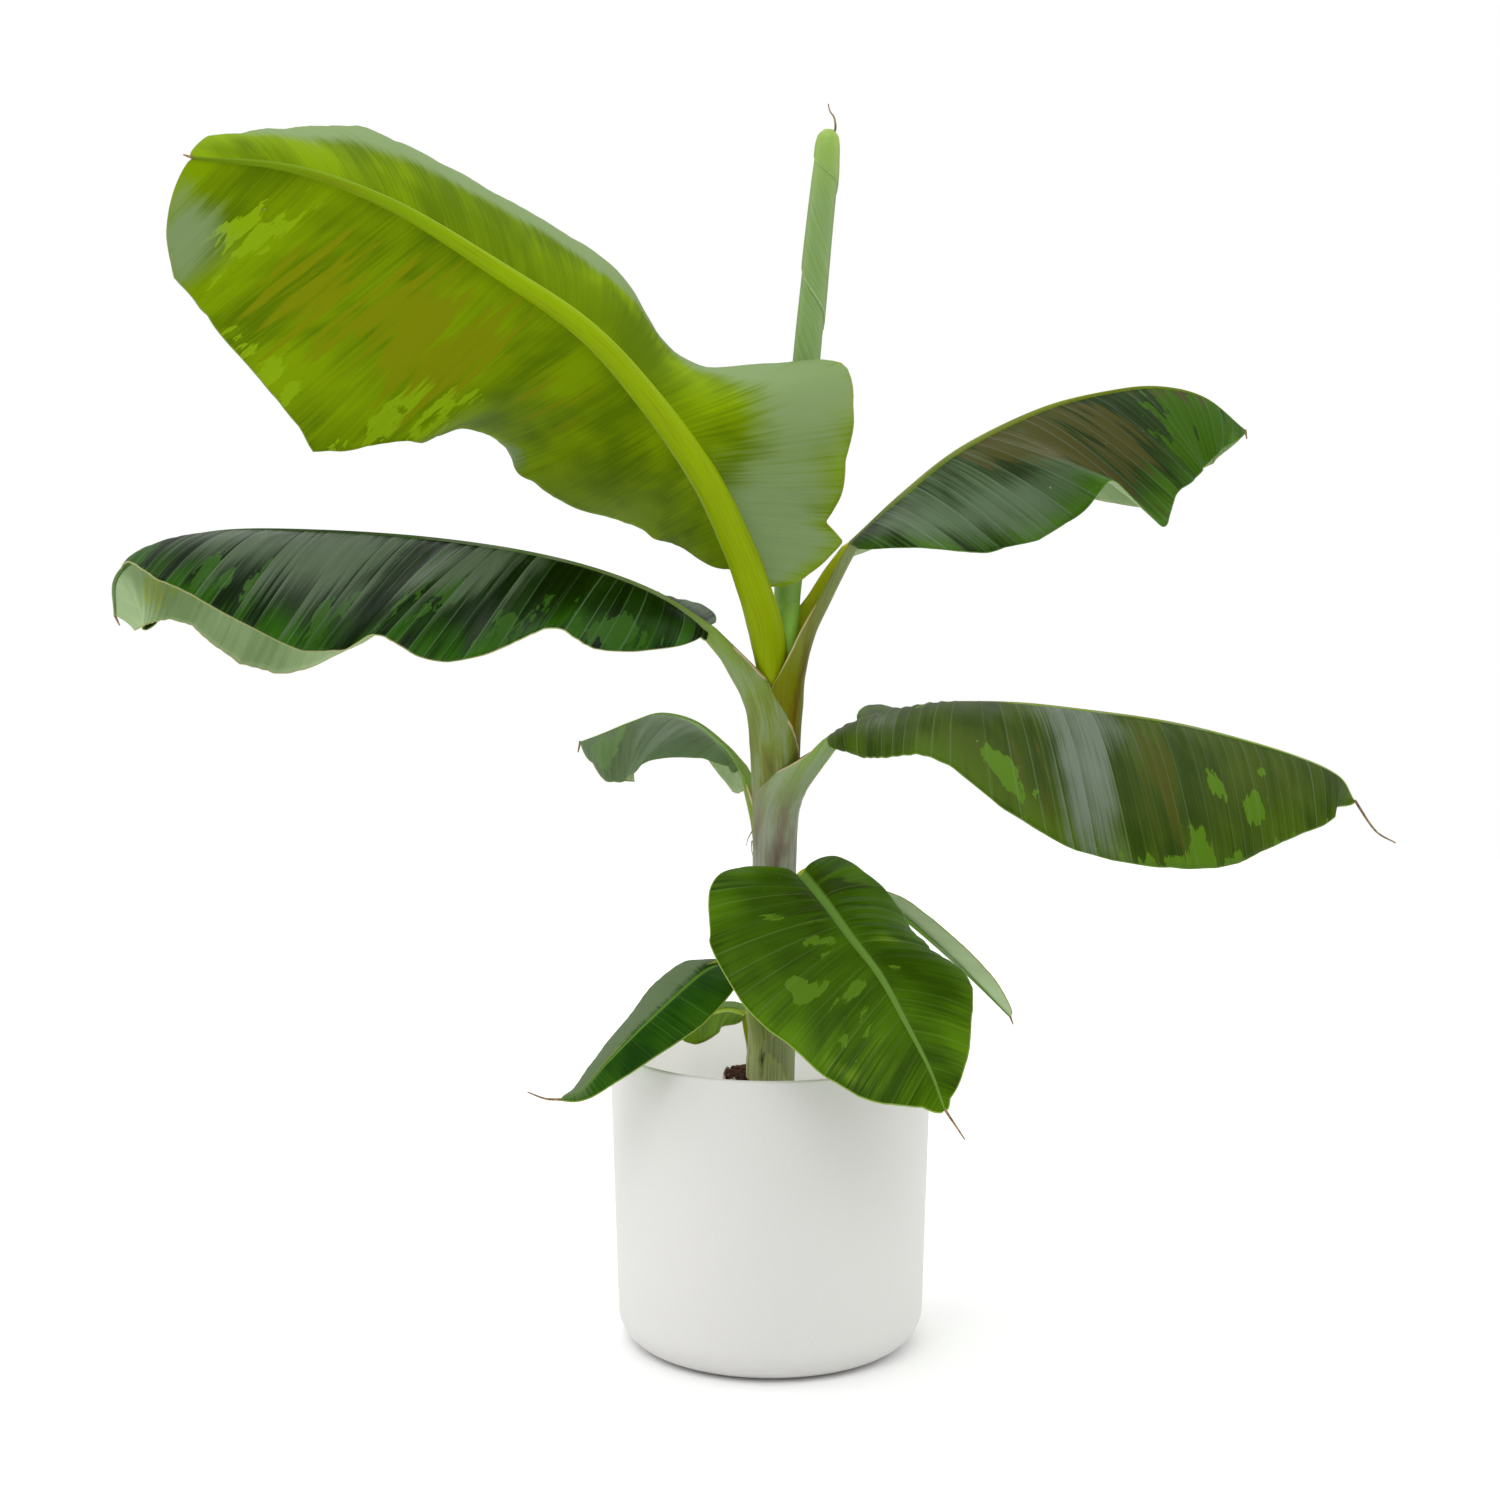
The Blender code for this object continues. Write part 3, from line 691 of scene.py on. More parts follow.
    def pleat_turns(self, u: Array, v: Array) -> Array:
        """Count the pleats from the base to each point.

        Args:
            u: Shares along the rib.
            v: Signed shares across.

        Returns:
            Turns of the pleats, whose spacing wanders.
        """
        run, seed = u * self.length, self.leaf.seed * 2
        right, left = (
            run / self.pleat_spacing + self.pleat_wander * wobble(run, self.wander_spacing, seed + side)
            for side in (0, 1)
        )
        return np.where(v < 0, left + self.left_pleats, right)

    def waves(self, u: Array, v: Array, width: Array) -> Array:
        """Give how far the blade's pleats and margin waves lift it.

        Args:
            u: Shares along the rib.
            v: Signed shares across.
            width: The half's width in metres.

        Returns:
            The lift at each point, in metres.
        """
        leaf, out = self.leaf, np.abs(v)
        seed = leaf.seed * 2 + self.wave_seed
        right, left = (wobble(u * self.length, self.wave_spacing, seed + side) for side in (0, 1))
        pleat = 4 * np.abs(self.pleat_turns(u, v) % 1 - 0.5) - 1
        clear = ease((out * width - self.rib_radius(u)) / self.pleat_clear)
        pleat = pleat * clear * (1 - self.pleat_fade * out)
        wave = np.where(v < 0, left, right) * out**self.wave_power
        size = np.clip(width / self.full_waves, self.least_waves, 1)
        return size * (leaf.pleat * pleat + leaf.ripple * wave) * MM

    def surface(self, s: Array, t: Array) -> Points:
        """Place points on the blade.

        Args:
            s: Shares along the rib.
            t: Shares across, from the left margin to the right.

        Returns:
            The places, and the marks that the finishes read.
        """
        leaf = self.leaf
        u = self.start + (1 - self.start) * (s - self.row_crowding * np.sin(TURN * s))
        v = np.sign(2 * t - 1) * np.abs(2 * t - 1) ** self.column_crowding
        halves = (leaf.right, 1.0), (leaf.left, -1.0)
        sides = [self.half_surface(half, sign, u, np.abs(v)) for half, sign in halves]
        place, normal, width = (np.where(v[:, None] >= 0, right, left) for right, left in zip(*sides))
        width, rib = width[:, 0], self.rib_radius(u)
        distance = np.abs(v) * width
        groove = rib * self.groove_depth * ease(1 - distance / (self.groove_reach * rib))
        groove = groove * ease((1 - u) / self.groove_end)
        up = self.frame(u)[3]
        place = place + normal * self.waves(u, v, width)[:, None] - up * groove[:, None]
        return place, {
            "leaf_place": np.stack([u * self.length, v * width, width - distance], axis=1),
            "leaf_rib": np.stack([distance / rib, np.abs(v), self.pleat_turns(u, v)], axis=1),
            LeafSide.UPPER.value: self.tints(leaf.patches, u, v),
            LeafSide.UNDER.value: self.tints(leaf.under_patches, u, v),
        }

    def tints(self, patches: dict[Tint, tuple], u: Array, v: Array) -> Array:
        """Add up how much each tint is wanted at each point.

        Args:
            patches: The tinted regions.
            u: Shares along the rib.
            v: Signed shares across.

        Returns:
            One row of three weights for each point, cut off at -1 and 1.
        """
        weights = np.zeros((len(u), len(Tint)))
        for tint, regions in patches.items():
            for at_u, at_v, reach_u, reach_v, strength in regions:
                away = ((u - at_u) / reach_u) ** 2 + ((v - at_v) / reach_v) ** 2
                weights[:, tint.value] += strength * np.exp(-away)
        return np.clip(weights, -1, 1)

    def mesh(self, name: str) -> Mesh:
        """Build the blade with its thickness: the upper face, and the underside in its own material.

        Args:
            name: The mesh's name.

        Returns:
            The mesh, with the two finishes.
        """
        leaf = self.leaf
        mesh = skin(name, leaf.rows, 2 * leaf.columns, self.surface)
        middle = mesh.polygons[len(mesh.polygons) // 2 + leaf.columns // 2]
        if Vector(self.frame(np.array([0.5]))[3][0]).dot(middle.normal) < 0:
            mesh.flip_normals()
        mesh.materials.append(leaf.upper.dress(name + "_upper", LeafSide.UPPER))
        mesh.materials.append(leaf.under.dress(name + "_under", LeafSide.UNDER))
        carrier = placed(name + "_carrier", mesh)
        solidify = carrier.modifiers.new("thickness", "SOLIDIFY")
        solidify.thickness, solidify.offset = self.thickness, -1
        solidify.material_offset, solidify.material_offset_rim = 1, 0
        graph = bpy.context.evaluated_depsgraph_get()
        thick = bpy.data.meshes.new_from_object(carrier.evaluated_get(graph))
        bpy.data.objects.remove(carrier)
        bpy.data.meshes.remove(mesh)
        thick.name = name
        return thick


@dataclass
class Stalk:
    """A leaf's sheath, stalk and rib in one: a channel that is wrapped round the stem and opens upward.

    Attributes:
        leaf: The leaf that it carries.
        sheath_wall: The wall of the sheath, where it wraps the stem.
        stalk_wall: The wall of the stalk, as a share of its radius.
        outer_share: The share of the way round that its outer side takes.
        ring: Faces round it.
        row_length: The length of a face along it.
        rows: The fewest and the most faces along it.
        station_steps: Points of its line from one station to the next.
        rib_steps: Points of its line along the rib.
        rib_half: Degrees that it reaches each way under the blade.
        rib_ease: The share of the rib by which it does.
        sink_power: How soon it sinks below the blade.
        turn_from: The share of the stalk where its opening starts to turn from the stem to the blade's face.
        turn_length: The share over which it turns.
        margin_power: How close to its margins it thins.
        wrap_from: Degrees each way from which it counts as a wrap of the stem.
        wrap_full: Degrees each way at which it is one in full.
        clasp_from: Degrees each way from which its margins dry.
        clasp_reach: Degrees more at which they are dry in full.
        blade_wide: What keeps the margins that aren't dry out of the finish's dry band.
        ridge: The height of its fibres' ridges, as a share of its radius.
        ridge_count: Their number in a whole turn.
        ridge_drift: How far they drift from its foot to its tip, in radians of their wave.
        ridge_wrapped: The share of that height on a wrap.
        lip: The height of the lip at a wrap's margins.
        lip_power: How close to the margin the lip stays.
    """

    leaf: Leaf
    sheath_wall: float = 0.0012
    stalk_wall: float = 0.34
    outer_share: float = 0.56
    ring: int = 44
    row_length: float = 0.0035
    rows: tuple[int, int] = (60, 190)
    station_steps: int = 24
    rib_steps: int = 200
    rib_half: int = 98
    rib_ease: float = 0.2
    sink_power: int = 8
    turn_from: float = 0.45
    turn_length: float = 0.5
    margin_power: int = 6
    wrap_from: int = 106
    wrap_full: int = 120
    clasp_from: int = 105
    clasp_reach: int = 6
    blade_wide: float = 0.05
    ridge: float = 0.006
    ridge_count: int = 17
    ridge_drift: int = 3
    ridge_wrapped: float = 0.6
    lip: float = 0.0009
    lip_power: int = 10

    def __post_init__(self) -> None:
        """Join the sheath's stations and the rib to one path."""
        blade = Blade(self.leaf)
        stations = filled(self.leaf.sheath, (MM, MM, MM, MM, 1, 1))
        count = self.station_steps * (len(stations) - 1)
        knots = run_of(stations)
        run = np.linspace(0, knots[-1], count)
        turn = ease((run / knots[-1] - self.turn_from) / self.turn_length)[:, None]
        stem = -unit(np.array([*(stations[-1, :2] - stations[0, :2]), 0.0]))
        opening = stem * (1 - turn) + blade.frame(np.array([0.0]))[3] * turn
        line, sizes = smooth_line(stations[:, :3], count), read(stations[:, 3:], knots, run)
        sheath = np.column_stack([line, opening, sizes, np.linspace(0, 0.5, count)])
        u = np.linspace(0, 1, self.rib_steps)[1:]
        point, _, _, up = blade.frame(u)
        radius = blade.rib_radius(u)
        line = point - up * (radius * blade.rib_sink * (1 - (1 - u) ** self.sink_power))[:, None]
        half = stations[-1, 4] + (self.rib_half - stations[-1, 4]) * ease(u / self.rib_ease)
        rib = np.column_stack([line, up, radius, half, np.zeros(len(u)), 0.5 + 0.5 * u])
        # Each row: the middle, the opening's direction, radius, half, twist and tone
        self.path = np.vstack([sheath, rib])

    def surface(self, s: Array, t: Array) -> Points:
        """Place points on the channel: its outer side for the first part of t, its inner side for the rest.

        Args:
            s: Shares of the length.
            t: Shares of the way round, from one margin to the same margin again.

        Returns:
            The places, and the marks that the finish reads.
        """
        run = run_of(self.path)
        wanted = s * run[-1]
        found = read(np.hstack([self.path, unit(np.gradient(self.path[:, :3], axis=0))]), run, wanted)
        radius, half, twist, tone = found[:, 6:10].T
        ahead = unit(found[:, 10:])
        opening = square(found[:, 3:6], ahead)
        side = np.cross(ahead, opening)
        cos, sin = np.cos(np.radians(twist))[:, None], np.sin(np.radians(twist))[:, None]
        opening, side = opening * cos + side * sin, side * cos - opening * sin
        outer = t < self.outer_share
        share = np.where(outer, t / self.outer_share, (1 - t) / (1 - self.outer_share)) * 2 - 1
        out = np.abs(share)
        angle = np.radians(half) * share
        wrap = ease((half - self.wrap_from) / (self.wrap_full - self.wrap_from))
        wall = radius * self.stalk_wall * (1 - wrap) + self.sheath_wall * wrap
        wall = wall * (1 - out**self.margin_power)
        ridges = self.ridge * np.sin(angle * self.ridge_count + self.ridge_drift * tone) * outer
        ridges = ridges * (1 - wrap * (1 - self.ridge_wrapped))
        reach = radius * (1 + ridges) + self.lip * out**self.lip_power * wrap - np.where(outer, 0, wall)
        away = side * np.sin(angle)[:, None] - opening * np.cos(angle)[:, None]
        place = found[:, :3] + reach[:, None] * away
        clasp = ease((half - self.clasp_from) / self.clasp_reach)
        to_margin = (1 - out) * np.radians(half) * radius + self.blade_wide * (1 - clasp)
        return place, {
            "stalk_place": np.stack([wanted, angle * radius, place[:, 2]], axis=1),
            "stalk_tone": np.stack([tone, to_margin, 1.0 - outer], axis=1),
        }

    def build(self) -> None:
        """Build the piece that stands for the CAD stalk."""
        leaf, name = self.leaf, "channel_" + self.leaf.name
        rows = int(np.clip(run_of(self.path)[-1] / self.row_length, *self.rows))
        mesh = skin(name, rows, self.ring, self.surface, closed=True)
        piece(mesh, "stalk_green", leaf.stalk_finish.dress(name + "_skin"), nodes=("stalk_" + leaf.name,))


# Finishes


class Coat:
    """A material while its nodes are put together."""

    def __init__(self, name: str) -> None:
        """Start the material.

        Args:
            name: Its name.
        """
        self.material = bpy.data.materials.new(name)
        self.material.use_nodes = True
        self.tree = self.material.node_tree
        self.shader = self.tree.nodes["Principled BSDF"]

    def mark(self, name: str) -> tuple[Socket, ...]:
        """Read a mark of the mesh: the whole of it, then its three parts."""
        whole = add(self.tree, "Attribute", out="Vector", attribute_name=name)
        return whole, *add(self.tree, "SeparateXYZ", {0: whole}).node.outputs

    def grain(self, place: Socket, sizes: tuple[float, ...], detail: float, **inputs: float) -> Socket:
        """Add a noise whose grain has a real size.

        Args:
            place: Where it is read, in metres.
            sizes: The grain's size in metres along each direction of the place, two or three of them.
            detail: How fine its edges are.
            **inputs: Other inputs of the noise.

        Returns:
            The noise, from 0 to 1.
        """
        scale = [1 / size for size in sizes] + [0.0] * (3 - len(sizes))
        scaled = add(self.tree, "VectorMath", {0: place, 1: scale}, operation="MULTIPLY")
        inputs = {"Vector": scaled, "Scale": 1.0, "Detail": detail, **inputs}
        return add(self.tree, "TexNoise", inputs, noise_dimensions=f"{len(sizes)}D")

    def sum(self, total: Socket | float, *parts: tuple[Socket, float]) -> Socket:
        """Add up sockets.

        Args:
            total: What they are added to.
            *parts: Each socket and its weight.

        Returns:
            The sum.
        """
        for socket, weight in parts:
            total = add(self.tree, "Math", {0: socket, 1: weight, 2: total}, operation="MULTIPLY_ADD")
        return total

    def layered(self, ground: str | Socket, layers: list[tuple]) -> Socket:
        """Lay colours over a ground.

        Args:
            ground: The ground's colour.
            layers: Rows of a value, where the layer starts to show in it, where it shows most, how much it
                shows there, and its colour.

        Returns:
            The colour in all.
        """
        colour = linear(ground) if isinstance(ground, str) else ground
        for value, low, high, most, shade in layers:
            share = add(self.tree, "MapRange", {0: value, 1: low, 2: high, 4: most})
            colour = add(self.tree, "Mix", {0: share, 6: colour, 7: linear(shade)}, 2, data_type="RGBA")
        return colour

    def done(self, colour: Socket, relief: tuple[Socket, float, float], inputs: dict) -> bpy.types.Material:
        """Give the shader its colour, its relief and the rest.

        Args:
            colour: The colour.
            relief: The height of the relief, how strongly it is embossed and its depth in metres.
            inputs: Sockets or plain values for the shader's other inputs.

        Returns:
            The finished material.
        """
        height, strength, depth = relief
        normal = add(self.tree, "Bump", {"Strength": strength, "Distance": depth, "Height": height})
        plug(self.shader, {"Base Color": colour, "Normal": normal, **inputs})
        return self.material


@dataclass(frozen=True)
class BladeFinish:
    """Living banana leaf: a waxed skin over close parallel veins.

    The veins give it fine streaks across the blade and a broken satin gloss, and the young plant's
    variegation gives it lighter and browner patches with ragged ends along the veins.

    Attributes:
        deep: The darker ground colour, also laid as painted shade where the patch mark is negative.
        ground: The ground colour.
        pale: The variegation's lighter colour.
        brown: Its browner colour.
        bloom_and_sheen: The grey of the waxy film and of the painted sheen.
        rib: The rib's colour on the upper face.
        margin: The thin line at the margin.
        vein: The colour of the vein lines.
        vein_strength: How much the vein lines show.
        roughness: The skin's roughness.
        satin: How much rougher and smoother it gets along the veins.
        lit: The colour that light gives the thin outer part of the blade.
        lit_share: How much of it shows at the margin.
        pleated: How much the pleats differ in tone and in painted sheen, and stand out.
        relief: How strongly veins and pleats are embossed.
        scuff: The colour of small scuffs.
        scuffs: How much of the blade is scuffed.
        specular: The strength of its reflection.
        rib_share: How much of the rib's width shows as a channel on the upper face.
    """

    deep: str
    ground: str
    pale: str
    brown: str
    bloom_and_sheen: str
    rib: str = "#8FA832"
    margin: str = "#8F9A5A"
    vein: str = "#6E8A4A"
    vein_strength: float = 0.25
    roughness: float = 0.42
    satin: float = 0.10
    lit: str = "#4A7A0C"
    lit_share: float = 0.45
    pleated: float = 0.10
    relief: float = 0.5
    scuff: str = "#90A078"
    scuffs: float = 0.0
    specular: float = 0.12
    rib_share: float = 1.0

    # Size along the rib and along the veins in metres, and detail, of each noise. Veins stand about 1.5 mm
    # apart on a leaf of this size, and are drawn at 2 mm so that they show in the render.
    VEINS = ((0.0020, 0.090), 3.0)
    CLOUDS = ((0.045, 0.081), 2.0)
    PATCHES = ((0.011, 0.034), 4.0)
    SMEARS = ((0.0088, 0.102), 2.0)
    FLECKS = ((0.0035, 0.00875), 2.0)
    LIT_REACH = 0.035
    MARGIN_WIDTH = (0.0011, 0.0003)
    VEIN_LINE = (0.055, 0.02)
    RELIEF_DEPTH = 0.0007

    def dress(self, name: str, side: LeafSide) -> bpy.types.Material:
        """Make the material of one face of a blade.

        Args:
            name: The material's name.
            side: Which face it is for.

        Returns:
            The material.
        """
        coat = Coat(name + "_waxed_leaf")
        tree = coat.tree
        place, _, _, edge = coat.mark("leaf_place")
        _, nearness, _, turns = coat.mark("leaf_rib")
        _, pale, brown, bloom_and_sheen = coat.mark(side.value)
        streak, cloud, ragged, smear, fleck = (
            coat.grain(place, *grain, Roughness=0.6, Distortion=0.15)
            for grain in (self.VEINS, self.CLOUDS, self.PATCHES, self.SMEARS, self.FLECKS)
        )
        whole, part = (add(tree, "Math", {0: turns}, operation=kind) for kind in ("FLOOR", "FRACT"))
        facet = add(tree, "TexWhiteNoise", {"W": whole}, "Value", noise_dimensions="1D")
        ridge = add(tree, "Math", {0: part, 1: 0.5}, operation="PINGPONG")
        tone = coat.sum(-0.25 - self.pleated / 2, (cloud, 1.0), (streak, 0.5), (facet, self.pleated))
        spread = add(tree, "MapRange", {0: tone, 1: 0.30, 2: 0.70})
        pleats = (facet, self.pleated), (part, self.pleated)
        # Grey wax and painted sheen, in stripes that follow the pleat facets; negative marks take it away
        bloom_sheen_amount = coat.sum(-0.6 - self.pleated, (bloom_and_sheen, 1.0), (cloud, 0.7), (streak, 0.5), *pleats)
        lit, lined = (
            add(tree, "Math", {0: value, 1: most}, operation="MULTIPLY")
            for value, most in ((spread, self.lit_share), (facet, self.vein_strength))
        )
        layers = [
            (spread, 0.0, 1.0, 1.0, self.ground),
            # Painted shade: the deep colour where the patch mark is negative
            (bloom_and_sheen, 0.0, -1.0, 1.0, self.deep),
            (edge, self.LIT_REACH, 0.0, lit, self.lit),
        ]
        for amount, low, high, shade in (
            (coat.sum(0.0, (pale, 0.5), (ragged, 1.0)), 0.78, 0.80, self.pale),
            (coat.sum(0.0, (brown, 0.5), (smear, 1.0)), 0.74, 0.92, self.brown),
            (bloom_sheen_amount, 0.35, 0.95, self.bloom_and_sheen),
        ):
            share = add(tree, "MapRange", {0: amount, 1: low, 2: high}, interpolation_type="SMOOTHSTEP")
            layers.append((share, 0.0, 1.0, 1.0, shade))
        layers += [
            (ridge, *self.VEIN_LINE, lined, self.vein),
            (fleck, 0.83 - self.scuffs, 0.88 - self.scuffs, 1.0, self.scuff),
            (nearness, 0.95 * self.rib_share, 0.55 * self.rib_share, float(side is LeafSide.UPPER), self.rib),
            (edge, *self.MARGIN_WIDTH, 1.0, self.margin),
        ]
        rough = coat.sum(self.roughness - self.satin, (facet, self.satin), (streak, self.satin))
        height = coat.sum(0.0, (streak, 0.5), (ridge, self.pleated * 4))
        inputs = {"Roughness": rough, "Specular IOR Level": self.specular}
        return coat.done(coat.layered(self.deep, layers), (height, self.relief, self.RELIEF_DEPTH), inputs)


@dataclass(frozen=True)
class StalkFinish:
    """Fleshy leaf stalk and sheath: smooth waxed skin with long fibres under it.

    The fibres give the eye fine lengthwise streaks, and the sheath dries to brown paper at its margins.

    Attributes:
        low: Its colour at the foot of the sheath.
        middle: Its colour where it leaves the stem.
        high: Its colour at the blade.
        rib: The rib's colour under the blade.
        tip: Its colour where it ends in the blade's tip.
        inner: The colour inside the channel.
        stain: The red-brown flush of the sheath.
        stained: How much of the sheath is flushed.
        paper: The dry margin's colour.
        dry_edge: The thin brown line at the margin.
        wax: The grey waxy film on the sheath.
        waxed: How thick that bloom is.
        roughness: The skin's roughness.
        specular: The strength of its reflection.
    """

    low: str
    middle: str
    high: str
    rib: str
    tip: str
    inner: str = "#A0A81C"
    stain: str = "#6A4A2C"
    stained: float = 0.3
    paper: str = "#B8A882"
    dry_edge: str = "#7A5030"
    wax: str = "#93A08C"
    waxed: float = 0.5
    roughness: float = 0.48
    specular: float = 0.25

    # Size along and across the stalk in metres, and detail: fibres 1.2 mm apart and 60 mm long, and the flush
    FIBRES = ((0.060, 0.0012), 2.0)
    FLUSH = ((0.050, 0.012), 4.0)

    def dress(self, name: str) -> bpy.types.Material:
        """Make the material.

        Args:
            name: The material's name.

        Returns:
            The material.
        """
        coat = Coat(name)
        place = coat.mark("stalk_place")[0]
        _, tone, margin, inside = coat.mark("stalk_tone")
        fibre, flush = (coat.grain(place, *grain) for grain in (self.FIBRES, self.FLUSH))
        ramp = add(coat.tree, "ValToRGB", {0: tone})
        stops = ramp.node.color_ramp.elements
        stops[0].color, stops[1].color = linear(self.low), linear(self.tip)
        for spot, shade in ((0.25, self.middle), (0.48, self.high), (0.80, self.rib)):
            stops.new(spot).color = linear(shade)
        fading = add(coat.tree, "MapRange", {0: tone, 1: 0.20, 2: 0.42, 3: 1.0, 4: 0.0})
        frayed = coat.sum(margin, (flush, 0.003))
        layers = [
            (flush, 0.68 - 0.3 * self.stained, 0.75, fading, self.stain),
            (flush, 0.53, 0.40, self.waxed, self.wax),
            (fibre, 0.5, 0.72, 0.35, self.stain),
            (frayed, 0.0040, 0.0034, 1.0, self.paper),
            (frayed, 0.0025, 0.0021, 0.8, self.dry_edge),
            (inside, 0.3, 0.9, 1.0, self.inner),
        ]
        inputs = {"Roughness": self.roughness, "Specular IOR Level": self.specular}
        return coat.done(coat.layered(ramp, layers), (fibre, 0.35, 0.0003), inputs)


@dataclass(frozen=True)
class RollFinish:
    """The rolled young leaf: pale waxed underside, with fine veins and a light line along its free margin.

    Attributes:
        skin: Its colour between the veins.
        deep: Its colour on them.
        tip: Its colour at the top.
        foot: Its colour at the foot.
        margin: The line along its free margin.
    """

    skin: str = "#86A264"
    deep: str = "#74964A"
    tip: str = "#8FB04A"
    foot: str = "#86B63E"
    margin: str = "#B4C68A"

    def dress(self, name: str) -> bpy.types.Material:
        """Make the material.

        Args:
            name: The material's name.

        Returns:
            The material.
        """
        coat = Coat(name)
        seam, beyond, _, height = coat.mark("roll_seam")
        # 60 veins in a turn, 60 mm long
        vein = coat.grain(seam, (1 / 60, 0.060), 2.0)
        layers = [
            (vein, 0.35, 0.7, 1.0, self.skin),
            (height, 0.88, 0.93, 1.0, self.tip),
            (height, 0.64, 0.57, 1.0, self.foot),
            (beyond, 0.035, 0.01, 1.0, self.margin),
        ]
        return coat.done(coat.layered(self.deep, layers), (vein, 0.3, 0.0003), {"Roughness": 0.5})


@dataclass(frozen=True)
class GrainFinish:
    """A dry or moulded surface with one grain: compost, dry fibre, paper, stem skin or matt plastic.

    Attributes:
        dark: Its darker colour.
        light: Its lighter colour.
        grain: The grain's size in metres along X, Y and Z.
        roughness: Its roughness.
        relief: The grain's depth in metres.
        depth: How deep light goes into it, in metres.
    """

    dark: str
    light: str
    grain: tuple[float, float, float]
    roughness: float
    relief: float
    depth: float = 0.0

    def dress(self, name: str) -> bpy.types.Material:
        """Make the material.

        Args:
            name: The material's name.

        Returns:
            The material.
        """
        coat = Coat(name)
        grain = coat.grain(add(coat.tree, "TexCoord", out="Object"), self.grain, 5.0)
        inputs = {"Roughness": self.roughness}
        if self.depth:
            scatter = {"Weight": 0.95, "Scale": self.depth, "Radius": (1.0, 1.0, 1.0)}
            inputs |= {"Subsurface " + key: value for key, value in scatter.items()}
        colour = coat.layered(self.dark, [(grain, 0.35, 0.65, 1.0, self.light)])
        return coat.done(colour, (grain, 0.6, self.relief), inputs)


# Injection-moulded polypropylene with a fine matt texture: no gloss, and an even off-white
POT_OUTSIDE = GrainFinish("#D3D2CF", "#D7D6D3", (0.0009,) * 3, 0.55, 0.00004)
# The inside is a paler copy of the outside: painted light where the pot's inside lies in shade
POT_INSIDE_PAINTED_LIGHT = GrainFinish("#FBF3E6", "#FDF7EC", (0.0009,) * 3, 0.6, 0.00004, depth=0.020)
# Peat and coir compost: nearly black when moist, with paler dry crumbs
COMPOST = GrainFinish("#1E130D", "#4A3324", (0.004,) * 3, 0.95, 0.001)
CRUMBS = GrainFinish("#2A1710", "#6B4230", (0.006,) * 3, 0.95, 0.0006)
# Thin unbleached paper round the young plant's root plug
PLUG_PAPER = GrainFinish("#9A8C80", "#D8CEC2", (0.004, 0.004, 0.006), 0.85, 0.0002)
# Dead leaf fibre, bleached tan to brown
DRY_FIBRE = GrainFinish("#5A4028", "#A08458", (0.002, 0.002, 0.008), 0.8, 0.0002)
# The innermost sheath's skin, with long fibres
STEM_SKIN = GrainFinish("#6F7F3C", "#A3AF66", (0.003, 0.003, 0.050), 0.5, 0.0003)

# Fresh waxy stalks: the youngest clear yellow-green, the older ones greyer and flushed brown at the foot
UPPER_LEFT_STALK = StalkFinish(
    "#8A8E00", "#8CA006", "#8CA400", "#88A600", "#5E7E08", inner="#A0B41E", stain="#7A6A10", waxed=0.0,
    specular=0.06,
)
LEFT_STALK = StalkFinish(
    "#80744E", "#6B7628", "#7B973E", "#35521E", "#5E7E3A", inner="#A6AE2A", stain="#54481A", stained=0.6,
    waxed=0.3,
)
UPPER_RIGHT_STALK = StalkFinish(
    "#665404", "#6E7602", "#8A9862", "#86962E", "#5E7E2A", inner="#B8C01C", stain="#5E4408", stained=0.5,
    waxed=0.0, specular=0.10,
)
RIGHT_STALK = StalkFinish(
    "#968A7C", "#80806A", "#7C9C44", "#6A8A3A", "#5E7E30", stain="#66524E", stained=0.7, waxed=0.45
)
LOW_STALK = StalkFinish(
    "#BAC488", "#94A458", "#648E1A", "#64902A", "#4E7A1A", stain="#3A2C1E", stained=0.5, waxed=0.3
)
# A paler copy of LOW_STALK: painted light on the sheath foot that stands in the pot's shade
FOOT_STALK_PAINTED_LIGHT = StalkFinish(
    "#D8E0A8", "#A8B868", "#648E1A", "#64902A", "#4E7A1A", stain="#30241A", stained=0.4, waxed=0.2
)
BACK_STALK = StalkFinish("#80765C", "#768A00", "#6E8E10", "#76965A", "#5E7E3A", inner="#86A04A")

# Living blades: the young one is thin and lit through, the older ones dark and waxed, all sage green below
UPPER_LEFT_TOP = BladeFinish("#2C4C04", "#3A620A", "#4E7A10", "#4A4A10", "#62804A", rib="#8AA838")
UPPER_LEFT_UNDER = BladeFinish(
    "#587200", "#7A9600", "#84A40C", "#7A8404", "#7C9260", margin="#8C9E48", vein="#829A14",
    vein_strength=0.10, roughness=0.65, satin=0.04, lit="#7C9C04", pleated=0.03, specular=0.03,
)
DARK_TOP = BladeFinish(
    "#081C00", "#163400", "#2E560E", "#2A2A18", "#56664E", margin="#A8AC70", vein="#5E7A54",
    vein_strength=0.7, lit="#2C5E00", lit_share=1.2, pleated=0.40, rib="#263A14", scuffs=0.02,
)
SAGE_UNDER = BladeFinish(
    "#96AE7C", "#A5BC8E", "#A4B668", "#8A966A", "#AABC98", margin="#A6A86C", vein="#90A878", lit="#A6BC84",
    roughness=0.6, specular=0.2,
)
RIGHT_TOP = BladeFinish(
    "#2A3E04", "#40520E", "#4E7210", "#444A0E", "#6A7666", margin="#6E8A38", vein="#6A7E5C",
    vein_strength=0.5, lit="#4C7000", pleated=0.20, specular=0.10, rib_share=1.3,
)
